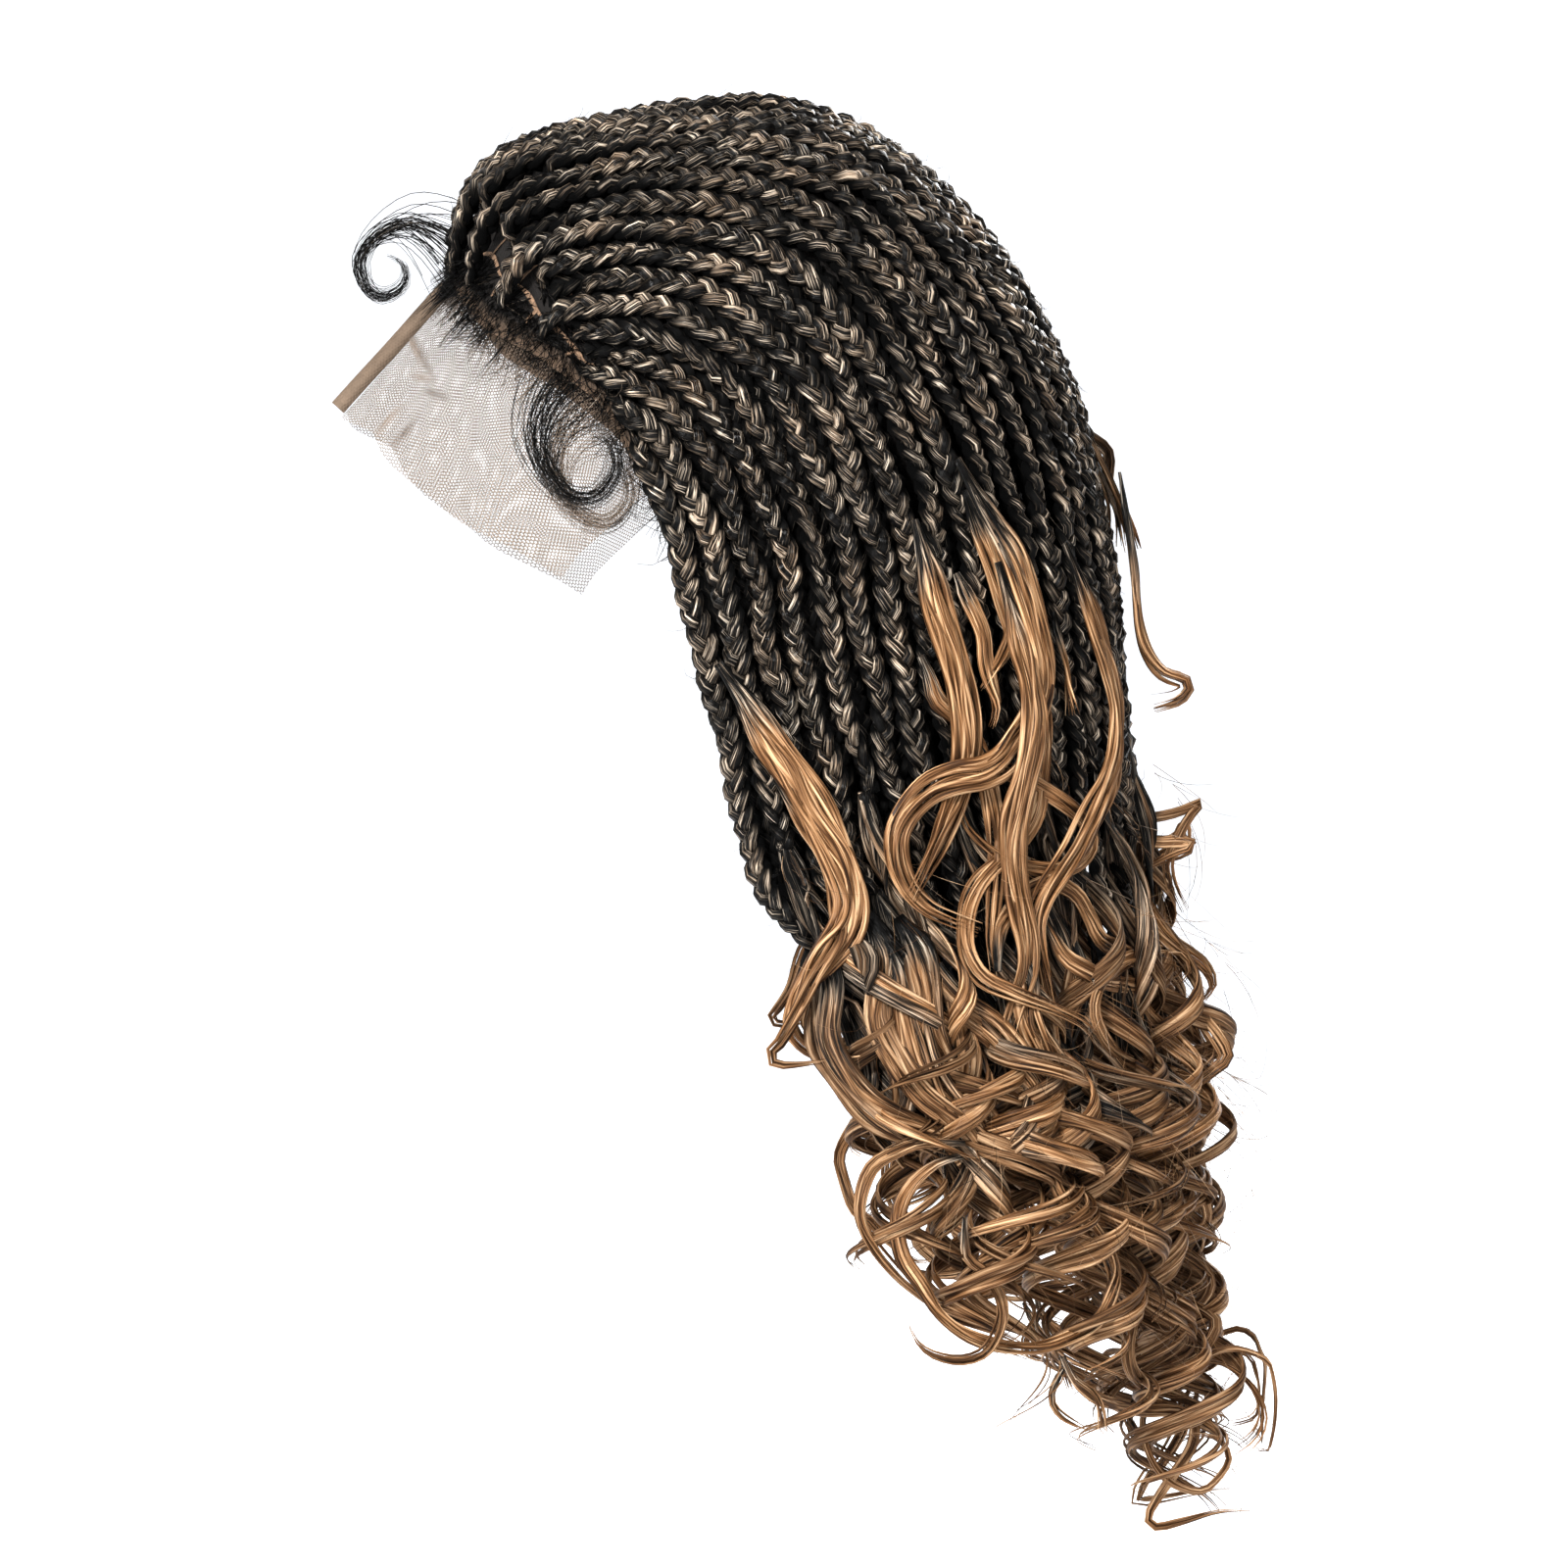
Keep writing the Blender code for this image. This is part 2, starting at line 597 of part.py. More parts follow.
def grid_mesh(name, rows, closed, pole=None):
    """A sheet through rows of points, closed round if asked, with a pole that fans to the first row."""
    mesh = bpy.data.meshes.new(name)
    made = bmesh.new()
    knots = [[made.verts.new(point) for point in row] for row in rows]
    count = len(rows[0])
    spans = range(count if closed else count - 1)
    for upper, lower in zip(knots[:-1], knots[1:]):
        for i in spans:
            j = (i + 1) % count
            made.faces.new((upper[i], lower[i], lower[j], upper[j]))
    if pole is not None:
        top = made.verts.new(pole)
        for i in spans:
            made.faces.new((top, knots[0][i], knots[0][(i + 1) % count]))
    made.to_mesh(mesh)
    made.free()
    return mesh


def build_cap(collection, finish):
    """Net dome from the crown to the rim, its inner face on the head."""
    around, levels = CAP_COLUMNS, 9
    rows = []
    for level in range(1, levels + 1):
        row = []
        for i in range(around):
            azimuth = 360.0 * i / around
            azimuth = azimuth if azimuth <= 180 else azimuth - 360
            rim = rim_point(azimuth, 0.0) - Vector(HEAD_CENTRE)
            tilt = rim.angle(Vector((0, 0, 1))) * level / levels
            turn = math.radians(azimuth)
            direction = np.array(
                [[math.sin(tilt) * math.sin(turn), -math.sin(tilt) * math.cos(turn), math.cos(tilt)]]
            )
            row.append(tuple(HEAD_CENTRE + direction[0] * head_reach(direction, 0.0)[0]))
        rows.append(row)
    mesh = grid_mesh("lace_cap", rows, closed=True, pole=(0.0, 0.0, 0.0))
    for face in mesh.polygons:
        face.use_smooth = True
    return shell_object("lace_cap", mesh, finish, CAP_WALL, collection)


def lace_ray(azimuth):
    """Start on the rim, direction and reach of the lace panel at an azimuth in degrees."""
    angles = [row[0] for row in LACE]
    reach = float(np.interp(abs(azimuth), angles, [row[1] for row in LACE])) * LACE_REACH
    lean = float(np.interp(abs(azimuth), angles, [row[2] for row in LACE]))
    start = rim_point(azimuth, 0.0, lower=LACE_DROP)
    down = rim_point(azimuth, 0.0, lower=0.012) - start
    down = Vector((down.x * 0.35, 0.0, down.z)).normalized()
    direction = (down * math.sqrt(1 - lean**2) + Vector((0, -lean, 0))).normalized()
    return start, direction, reach


def build_lace(collection, finish):
    """Sheer panel that runs on from the front of the rim."""
    most = LACE[-1][0]
    columns, levels = 14, 5
    rows = []
    for level in range(levels + 1):
        share = level / levels
        row = []
        for i in range(columns + 1):
            azimuth = most * (2.0 * i / columns - 1.0)
            start, direction, reach = lace_ray(azimuth)
            row.append(tuple(start + direction * reach * share))
        rows.append(row)
    mesh = grid_mesh("front_lace", rows, closed=False)
    return shell_object("front_lace", mesh, finish, LACE_WALL, collection)


def build_edge_band(collection, finish):
    """Dense strip that stands along the fold at the lace's middle."""
    start, direction, reach = lace_ray(0.0)
    across = Vector((1, 0, 0))
    up = across.cross(direction).normalized()
    up = up if up.y < 0 else -up
    low = LACE_WALL + PIECE_GAP
    mesh = bpy.data.meshes.new("lace_edge_band")
    made = bmesh.new()
    bmesh.ops.create_cube(made, size=1.0)
    for vert in made.verts:
        along = (0.06 + 0.94 * (vert.co.y + 0.5)) * reach
        high = low + EDGE_BAND_WIDTH * (vert.co.z + 0.5)
        place = start + direction * along + up * high
        vert.co = (EDGE_BAND_WALL * vert.co.x, place.y, place.z)
    bmesh.ops.recalc_face_normals(made, faces=made.faces)
    made.to_mesh(mesh)
    made.free()
    mesh.materials.append(finish)
    band = bpy.data.objects.new("lace_edge_band", mesh)
    collection.objects.link(band)
    return band


def build_inner_fall(collection, finish):
    """Horseshoe curtain of the inner braids, with a ridge for each of them on its outer face."""
    outer_count = 2 * INNER_RIDGES
    inner_count = INNER_RIDGES
    made = bmesh.new()
    loops = []
    for at in range(len(INNER_FALL)):
        drop, _, _, _, _, edge = inner_row(float(at))
        loop = []
        for i in range(outer_count + 1):
            turn = edge * (2.0 * i / outer_count - 1.0)
            reach = inner_reach(turn, float(at), True)
            if i % 2 == 0:
                reach -= RIDGE_DEPTH
            loop.append(made.verts.new((reach * math.sin(turn), reach * math.cos(turn), -drop)))
        for i in range(inner_count + 1):
            turn = edge * (1.0 - 2.0 * i / inner_count)
            reach = inner_reach(turn, float(at), False)
            loop.append(made.verts.new((reach * math.sin(turn), reach * math.cos(turn), -drop)))
        loops.append(loop)
    for upper, lower in zip(loops[:-1], loops[1:]):
        for i in range(len(upper)):
            j = (i + 1) % len(upper)
            made.faces.new((upper[i], upper[j], lower[j], lower[i]))
    for loop in (loops[0], loops[-1]):
        outer, inner = loop[: outer_count + 1], loop[outer_count + 1 :][::-1]
        for i in range(inner_count):
            made.faces.new((inner[i], outer[2 * i], outer[2 * i + 1]))
            made.faces.new((inner[i], outer[2 * i + 1], inner[i + 1]))
            made.faces.new((inner[i + 1], outer[2 * i + 1], outer[2 * i + 2]))
    bmesh.ops.recalc_face_normals(made, faces=made.faces)
    mesh = bpy.data.meshes.new("inner_braid_fall")
    made.to_mesh(mesh)
    made.free()
    mesh.materials.append(finish)
    fall = bpy.data.objects.new("inner_braid_fall", mesh)
    collection.objects.link(fall)
    return fall


def lace_grid():
    """Points on the lace's left half, to read how far across it stands."""
    placed = []
    for azimuth in np.linspace(20.0, LACE[-1][0], 40):
        start, direction, reach = lace_ray(azimuth)
        placed += [start + direction * reach * share for share in np.linspace(0.0, 1.0, 40)]
    return np.array(placed)


def edge_curl_line(curl, grid):
    """A lock of edge hair: out of its root on the cap and nearly once round its ring."""
    across = curl["across"] * HEAD_HALF_WIDTH
    root = np.array([[across, -curl["root"][0] * FOREHEAD_DEPTH, -curl["root"][1] * CROWN_HEIGHT]])
    root = on_head(root, CAP_WALL + PIECE_GAP + EDGE_CURL_RADIUS)[0]
    ring = []
    for turn in np.radians(np.linspace(60, -235, 9)):
        back = -curl["centre"][0] * FOREHEAD_DEPTH + EDGE_RING * math.cos(turn)
        ring.append((back, curl["centre"][1] * CROWN_HEIGHT - EDGE_RING * math.sin(turn)))
    if grid is None:
        placed = np.array([(root[0], back, -drop) for back, drop in ring])
    else:
        placed = over_layer(ring, grid, LACE_WALL + EDGE_CURL_RADIUS + 2 * PIECE_GAP)
    placed[:, 0] += np.linspace(0.0, 2 * EDGE_CURL_RADIUS, len(placed))
    return np.concatenate([[seated(root, placed[0], EDGE_CURL_RADIUS)], placed])


def build_hair(collection, black, honey):
    """The outer braids on both sides, and the loose locks on the left."""
    grid = fan_grid()
    braids = [braid_line(number) for number in range(BRAIDS_A_SIDE)]
    lines = [line for line, _ in braids]
    counts = [count for _, count in braids]
    lines += [lock_line(shares, grid) for shares in LOOSE_LOCKS] + [back_lock_line(BACK_LOCK, grid)]
    counts += [0] * (len(lines) - len(counts))
    radii = [wanted_radii(len(line), count) for line, count in zip(lines, counts)]
    lines = settle(lines, radii, smooth=0.12)
    picked = [ring_numbers(line, count) for line, count in zip(lines, counts)]
    lines = [line[numbers] for line, numbers in zip(lines, picked)]
    radii = [radius[numbers] for radius, numbers in zip(radii, picked)]
    lines = settle(lines, radii, smooth=0.0)
    radii = fitted_radii(lines, radii)
    for line in lines[:BRAIDS_A_SIDE]:
        line[0] = seated(line[0], line[1], ROOT_RADIUS)
    for number in range(BRAIDS_A_SIDE):
        for side in ("left", "right"):
            name = f"braid_{side}_{number + 1:02d}"
            tube(name, lines[number], radii[number], black, BRAID_RADIUS, collection, side == "right")
    for number in range(BRAIDS_A_SIDE, len(lines)):
        name = f"loose_lock_{number - BRAIDS_A_SIDE + 1}"
        tube(name, lines[number], radii[number], honey, LOCK_RADIUS, collection, False)


def build_edge_curls(collection, black):
    side, front = edge_curl_line(SIDE_CURL, lace_grid()), edge_curl_line(FRONT_CURL, None)
    for name, line, mirrored in (
        ("edge_curl_front", front, False),
        ("edge_curl_left", side, False),
        ("edge_curl_right", side, True),
    ):
        tube(name, line, [EDGE_CURL_RADIUS] * len(line), black, EDGE_CURL_RADIUS, collection, mirrored)


def main():
    clear_scene()
    wig = bpy.data.collections.new("braid_wig")
    bpy.context.scene.collection.children.link(wig)
    black = material("black_hair", HAIR_BLACK, 0.42)
    honey = material("honey_hair", HAIR_HONEY, 0.40)
    lace = material("tan_lace", LACE_TAN, 0.80)
    net = material("brown_net", NET_BROWN, 0.85)
    build_cap(wig, net)
    build_lace(wig, lace)
    build_edge_band(wig, lace)
    build_inner_fall(wig, black)
    build_hair(wig, black, honey)
    build_edge_curls(wig, black)


main()
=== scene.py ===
"""Looks of a long braid wig on a lace cap: plaits, curls, loose locks, edge hair, lace and the studio.

Metres, +Z up. The face looks along -Y and the origin is where the crown of the head meets the cap's inside.
"""

import logging
import math
from dataclasses import dataclass, field
from enum import Enum

import bpy
import numpy as np
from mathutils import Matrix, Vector


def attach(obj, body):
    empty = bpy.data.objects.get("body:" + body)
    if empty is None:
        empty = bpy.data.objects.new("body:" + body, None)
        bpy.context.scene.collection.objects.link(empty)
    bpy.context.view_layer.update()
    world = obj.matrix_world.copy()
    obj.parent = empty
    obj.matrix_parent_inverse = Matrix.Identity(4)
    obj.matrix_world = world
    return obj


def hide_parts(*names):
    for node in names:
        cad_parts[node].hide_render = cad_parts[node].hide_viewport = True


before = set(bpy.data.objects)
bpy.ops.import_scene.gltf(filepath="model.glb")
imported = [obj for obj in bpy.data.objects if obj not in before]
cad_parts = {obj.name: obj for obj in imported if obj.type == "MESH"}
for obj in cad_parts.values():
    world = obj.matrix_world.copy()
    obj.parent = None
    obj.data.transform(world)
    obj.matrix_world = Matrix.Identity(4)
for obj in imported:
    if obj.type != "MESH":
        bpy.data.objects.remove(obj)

Array = np.ndarray
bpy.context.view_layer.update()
BODY = "root"
LOG = logging.getLogger("braid_wig")
SEED = 11
# Room that the hair keeps to: across, behind and below, and the share kept of what would lie further out
ROOM_ACROSS = 0.122
ROOM_BEHIND = 0.180
ROOM_BELOW = 0.476
KEPT_PAST_ROOM = 0.35


class Side(Enum):
    """The wearer's side, with the sign of its X."""

    LEFT = 1.0
    RIGHT = -1.0

    @property
    def word(self) -> str:
        """The side's name as the pieces use it."""
        return self.name.lower()


# Numbers

def unit(vectors: Array) -> Array:
    """Vectors scaled to length one."""
    return vectors / np.maximum(np.linalg.norm(vectors, axis=-1, keepdims=True), 1e-12)


def smoothstep(low: float, high: float, value: Array) -> Array:
    """Zero below low, one above high and a soft step between them."""
    share = np.clip((value - low) / (high - low), 0.0, 1.0)
    return share * share * (3.0 - 2.0 * share)


def spline_rows(rows: object, at: object) -> Array:
    """A smooth curve through the rows of a table.

    Args:
        rows: the table.
        at: row numbers, which may lie between rows.

    Returns:
        One row of values for each number.
    """
    table = np.asarray(rows, float)
    at = np.clip(np.asarray(at, float), 0.0, len(table) - 1.0)
    low = np.minimum(at.astype(int), len(table) - 2)
    share = (at - low)[:, None]
    before, here = table[np.maximum(low - 1, 0)], table[low]
    there, after = table[low + 1], table[np.minimum(low + 2, len(table) - 1)]
    square, cube = share**2, share**3
    return 0.5 * (
        2 * here
        + (there - before) * share
        + (2 * before - 5 * here + 4 * there - after) * square
        + (3 * here - before - 3 * there + after) * cube
    )


def lengths_along(points: Array) -> Array:
    """Distance from a line's first point to each of its points."""
    return np.concatenate([[0.0], np.cumsum(np.linalg.norm(np.diff(points, axis=0), axis=1))])


def resample(points: Array, step: float) -> Array:
    """The same line with points an even distance apart.

    Args:
        points: the line.
        step: the distance wanted.

    Returns:
        The new points.
    """
    lengths = lengths_along(points)
    count = max(2, int(round(lengths[-1] / step)) + 1)
    at = np.linspace(0.0, lengths[-1], count)
    return np.stack([np.interp(at, lengths, points[:, axis]) for axis in range(3)], axis=1)


def smooth_line(points: Array, step: float) -> Array:
    """A smooth curve through points, with an even step.

    Args:
        points: the points that the curve passes.
        step: the distance between two points of the result.

    Returns:
        The curve's points.
    """
    return resample(spline_rows(points, np.linspace(0.0, len(points) - 1.0, 8 * len(points))), step)


class Wander:
    """A smooth random swing along a strand, between about -1 and 1."""

    def __init__(self, rng: np.random.Generator, waves: int = 3) -> None:
        """Draws the waves.

        Args:
            rng: where the draws come from.
            waves: how many waves are summed.
        """
        self.rates = rng.uniform(0.6, 1.9, waves)
        self.phases = rng.uniform(0.0, 2 * math.pi, waves)

    def at(self, lengths: Array, period: float) -> Array:
        """The swing at distances along the strand.

        Args:
            lengths: the distances.
            period: the distance over which it swings once, about.

        Returns:
            A value for each distance.
        """
        turns = 2 * math.pi * lengths[:, None] / period * self.rates + self.phases
        return np.sin(turns).sum(axis=1) / math.sqrt(2.0 * len(self.rates))


# Form of the head, the braid layer and the curtain under it

@dataclass(frozen=True)
class HeadForm:
    """The head that the cap is cut for, measured from the point below the crown at its widest level."""

    half_width: float = 0.077
    forehead: float = 0.099
    occiput: float = 0.088
    crown: float = 0.095
    nape: float = 0.125
    power: float = 2.2
    wall: float = 0.0015
    # Rim: azimuth from the forehead in degrees, and drop below the crown as a share of the crown's height
    rim: tuple = (
        (0, 0.53), (20, 0.62), (33, 0.76), (47, 0.86), (62, 1.03), (72, 1.30),
        (79, 1.53), (88, 1.55), (100, 1.38), (118, 1.55), (145, 1.75), (180, 1.84),
    )

    @property
    def centre(self) -> Array:
        """The head's centre, at its widest level."""
        return np.array([0.0, 0.0, -self.crown])

    def depth(self, share: Array) -> Array:
        """Distance behind the crown's axis, from a share of the forehead's or the occiput's depth."""
        return np.where(share < 0, share * self.forehead, share * self.occiput)

    def reach(self, directions: Array, room: float) -> Array:
        """How far the head, grown by room, reaches from its centre.

        Args:
            directions: unit directions.
            room: how much it is grown.

        Returns:
            A distance for each direction.
        """
        depth = np.where(directions[:, 1] < 0, self.forehead, self.occiput) + room
        height = np.where(directions[:, 2] > 0, self.crown, self.nape) + room
        terms = (
            np.abs(directions[:, 0] / (self.half_width + room)) ** self.power
            + np.abs(directions[:, 1] / depth) ** self.power
            + np.abs(directions[:, 2] / height) ** self.power
        )
        return terms ** (-1.0 / self.power)

    def on(self, points: Array, room: float) -> Array:
        """The points moved along their spokes until they stand room off the head."""
        directions = unit(points - self.centre)
        return self.centre + directions * self.reach(directions, room)[:, None]

    def off(self, points: Array, room: Array) -> Array:
        """The points that lie nearer the head than room, moved out to it.

        Args:
            points: any points.
            room: the least distance from the head, for each.

        Returns:
            The points, moved.
        """
        spokes = points - self.centre
        lengths = np.linalg.norm(spokes, axis=1)
        directions = spokes / lengths[:, None]
        least = self.reach(directions, room)
        return self.centre + directions * np.maximum(lengths, least)[:, None]

    def rim_point(self, azimuth: float, room: float, lower: float = 0.0) -> Array:
        """A point of the rim.

        Args:
            azimuth: degrees from the forehead.
            room: how much the head is grown.
            lower: how far below the rim.

        Returns:
            The point.
        """
        angles, shares = zip(*self.rim)
        drop = float(np.interp(abs(azimuth), angles, shares)) * self.crown + lower
        below = self.crown - drop
        height = (self.crown if below > 0 else self.nape) + room
        level = (1.0 - abs(below / height) ** self.power) ** (1.0 / self.power)
        turn = math.radians(azimuth)
        across, back = math.sin(turn), -math.cos(turn)
        depth = (self.forehead if back < 0 else self.occiput) + room
        reach = (
            abs(across / (self.half_width + room)) ** self.power + abs(back / depth) ** self.power
        ) ** (-1.0 / self.power)
        return np.array([level * reach * across, level * reach * back, -drop])

    def outward(self, points: Array) -> Array:
        """Directions away from the head above its widest level, and from the neck's axis below it.

        Args:
            points: any points.

        Returns:
            A direction for each point.
        """
        middle = np.zeros_like(points)
        middle[:, 1] = 0.25 * self.occiput * smoothstep(0.0, 0.5 * self.nape, -self.crown - points[:, 2])
        middle[:, 2] = np.minimum(points[:, 2], -self.crown)
        return unit(points - middle)


@dataclass(frozen=True)
class BraidFan:
    """The fan of braids on one side: arched hoops from face to middle, which the braids cross."""

    head: HeadForm
    fall: float = 0.330
    count: int = 18
    radius: float = 0.0046
    root_radius: float = 0.0022
    curl_radius: float = 0.0044
    curl_tip: float = 0.0018
    lock_radius: float = 0.0038
    lock_tip: float = 0.0014
    gap: float = 0.0003
    step: float = 0.009
    power: float = 2.25
    # Edge across, edge back, edge head, edge fall, middle back, middle head, middle fall, as shares of the
    # head's half width, its depths, the crown's height and the fall
    hoops: tuple = (
        (0.96, -0.32, 1.03, 0.00, -0.94, 0.51, 0.00),
        (1.03, -0.30, 1.00, 0.03, -0.87, 0.22, 0.00),
        (1.07, -0.28, 1.00, 0.05, -0.67, 0.055, 0.00),
        (1.09, -0.25, 1.00, 0.07, -0.30, -0.04, 0.00),
        (1.10, -0.22, 1.00, 0.10, 0.12, -0.085, 0.00),
        (1.11, -0.19, 1.00, 0.13, 0.58, 0.05, 0.00),
        (1.11, -0.17, 1.00, 0.17, 1.00, 0.41, 0.00),
        (1.11, -0.13, 1.00, 0.22, 1.27, 0.85, 0.00),
        (1.10, -0.09, 1.00, 0.29, 1.41, 1.00, 0.09),
        (1.09, -0.02, 1.00, 0.37, 1.48, 1.00, 0.24),
        (1.09, 0.10, 1.00, 0.47, 1.53, 1.00, 0.39),
        (1.12, 0.38, 1.00, 0.59, 1.58, 1.00, 0.55),
        (1.16, 0.57, 1.00, 0.71, 1.60, 1.00, 0.71),
        (1.16, 0.66, 1.00, 0.86, 1.60, 1.00, 0.88),
        (1.16, 0.72, 1.00, 1.02, 1.60, 1.00, 1.11),
    )
    root_rows: tuple = (2.0, 1.0, 0.0)
    plait_ends: tuple = (10.5, 9.6, 11.1, 10.1, 9.3, 10.8)
    curl_ends: tuple = (12.9, 12.2, 13.3, 12.6, 13.6)
    back_longer: float = 0.6
    swing: float = 0.0110
    pitch: float = 0.054
    next_turn: float = 0.9
    layers: tuple = (0.0, 0.0080, 0.0160)
    # Loose locks in the side view: behind the crown's axis as a share of the occiput's depth, and drop below
    # the crown as a share of the fall
    loose: tuple = (
        ((-0.02, 0.55), (0.16, 0.62), (0.32, 0.69), (0.44, 0.75), (0.46, 0.80), (0.33, 0.85), (0.26, 0.90),
         (0.40, 0.93), (0.62, 0.92)),
        ((0.69, 0.41), (0.80, 0.51), (0.88, 0.59), (0.88, 0.66), (0.79, 0.72), (0.67, 0.78)),
        ((0.85, 0.35), (1.00, 0.43), (1.13, 0.51), (1.16, 0.59), (0.99, 0.65), (0.74, 0.67), (0.62, 0.72),
         (0.70, 0.78), (0.92, 0.81)),
        ((1.00, 0.45), (1.12, 0.55), (1.10, 0.64), (1.04, 0.74), (1.10, 0.84), (1.02, 0.92)),
        ((1.25, 0.43), (1.38, 0.51), (1.46, 0.59), (1.42, 0.67), (1.27, 0.74), (1.15, 0.80), (1.20, 0.88)),
    )
    back_lock: tuple = ((1.43, 0.35), (1.50, 0.44), (1.57, 0.51), (1.64, 0.55), (1.77, 0.57), (1.62, 0.585))
    back_lock_across: float = 0.008

    def share(self, number: int) -> float:
        """Place of a braid in the fan, from 0 beside the face to 1 at the middle."""
        return (number + 0.5) / self.count

    def points(self, fan: float, at: Array) -> Array:
        """Points of the braid layer.

        Args:
            fan: place in the fan.
            at: a hoop number for each point.

        Returns:
            The points.
        """
        rows = spline_rows(self.hoops, at)
        width, crown = self.head.half_width, self.head.crown
        height = -rows[:, 2] * crown - rows[:, 3] * self.fall
        edge = np.stack([rows[:, 0] * width, self.head.depth(rows[:, 1]), height], axis=1)
        back = self.head.depth(rows[:, 4])
        drop = -rows[:, 5] * crown - rows[:, 6] * self.fall
        turns = np.linspace(0.0, math.pi / 2, 49)
        outward, along = np.cos(turns) ** (2.0 / self.power), np.sin(turns) ** (2.0 / self.power)
        found = np.zeros((len(rows), 3))
        for i in range(len(rows)):
            arch = np.stack(
                [
                    edge[i, 0] * outward,
                    edge[i, 1] + (back[i] - edge[i, 1]) * along,
                    edge[i, 2] + (drop[i] - edge[i, 2]) * along,
                ],
                axis=1,
            )
            length = lengths_along(arch)
            for axis in range(3):
                found[i, axis] = np.interp(fan * length[-1], length, arch[:, axis])
        return found

    def level_outward(self, points: Array) -> Array:
        """Level directions away from the neck's axis."""
        return unit(points * np.array([1.0, 1.0, 0.0]) - np.array([0.0, 0.25 * self.head.occiput, 0.0]))

    def opens(self, number: int) -> float:
        """The hoop where a plait opens into its curl."""
        return self.plait_ends[number % len(self.plait_ends)]

    def ends(self, number: int) -> float:
        """The hoop where a curl ends."""
        return self.curl_ends[number % len(self.curl_ends)] + self.back_longer * self.share(number) ** 3

    def line(self, number: int) -> tuple[Array, int]:
        """One braid's centre line on the left, before the strands are spaced.

        Args:
            number: the braid, from 0 beside the face.

        Returns:
            The points, plait then curl, and how many are the plait's.
        """
        fan = self.share(number)
        start = self.root_rows[number % len(self.root_rows)]
        plait = self.points(fan, np.linspace(start, self.opens(number), 60))
        room = self.head.wall + self.gap
        plait[0] = self.head.on(plait[:1], room + self.root_radius)[0]
        plait[1:] = self.head.off(plait[1:], room + self.radius)
        line = self.points(fan, np.linspace(self.opens(number), self.ends(number), 60))
        grow = np.clip(lengths_along(line) / self.pitch, 0.0, 1.0)
        turn = 2 * math.pi * -line[:, 2] / self.pitch + number * self.next_turn
        out = self.level_outward(line)
        aside = np.cross(np.array([0.0, 0.0, 1.0]), out)
        stand = self.layers[number % len(self.layers)] + self.swing * (0.6 - np.cos(turn))
        curl = line + out * (grow * stand)[:, None] + aside * (grow * self.swing * np.sin(turn))[:, None]
        plait = resample(plait, self.step)
        return np.concatenate([plait, resample(curl, self.step)[1:]]), len(plait)

    def grid(self) -> Array:
        """Points of the left layer, closely spaced, to read how far across it stands."""
        at = np.linspace(0.0, len(self.hoops) - 1.0, 90)
        return np.concatenate([self.points(fan, at) for fan in np.linspace(0.0, 1.0, 41)])

    def over_layer(self, side_points: list, grid: Array, stand: float) -> Array:
        """Points laid on the left braid layer.

        Args:
            side_points: depth and drop of each point in the side view.
            grid: points of the layer.
            stand: how far outside the layer they lie.

        Returns:
            The points.
        """
        placed = []
        for back, drop in side_points:
            gap = np.hypot(grid[:, 1] - back, grid[:, 2] + drop)
            placed.append(np.array([grid[int(np.argmin(gap)), 0], back, -drop]))
        placed = np.array(placed)
        placed[:, 0] += stand / np.maximum(self.level_outward(placed)[:, 0], 0.5)
        return placed

    def loose_line(self, shares: tuple, grid: Array) -> Array:
        """A loose lock's centre line from its shares in the side view."""
        rows = [(self.head.depth(np.array(back)), drop * self.fall) for back, drop in shares]
        return smooth_line(self.over_layer(rows, grid, self.radius + self.lock_radius), self.step)

    def back_line(self, grid: Array) -> Array:
        """Centre line of the lock that leaves the curtain behind the head.

        Args:
            grid: points of the layer.

        Returns:
            The line's points.
        """
        middle = grid[grid[:, 0] < self.radius]
        placed = []
        for back, share in self.back_lock:
            drop = share * self.fall
            layer = middle[int(np.argmin(np.abs(middle[:, 2] + drop) - (middle[:, 1] > 0)))][1]
            least = layer + self.radius + self.lock_radius + self.gap
            placed.append((self.back_lock_across, max(float(self.head.depth(np.array(back))), least), -drop))
        return smooth_line(np.array(placed), self.step)

    def radii(self, count: int, plait_count: int) -> Array:
        """Radius wanted at each point of a strand.

        Args:
            count: the strand's points.
            plait_count: how many are the plait's, none on a loose lock.

        Returns:
            The radii.
        """
        share = np.linspace(0.0, 1.0, count - plait_count)
        if plait_count == 0:
            return self.lock_radius + (self.lock_tip - self.lock_radius) * share**2
        radii = np.full(count, self.radius)
        radii[:4] = np.linspace(self.root_radius, self.radius, 4)
        radii[plait_count:] = self.curl_radius + (self.curl_tip - self.curl_radius) * share**2
        return radii


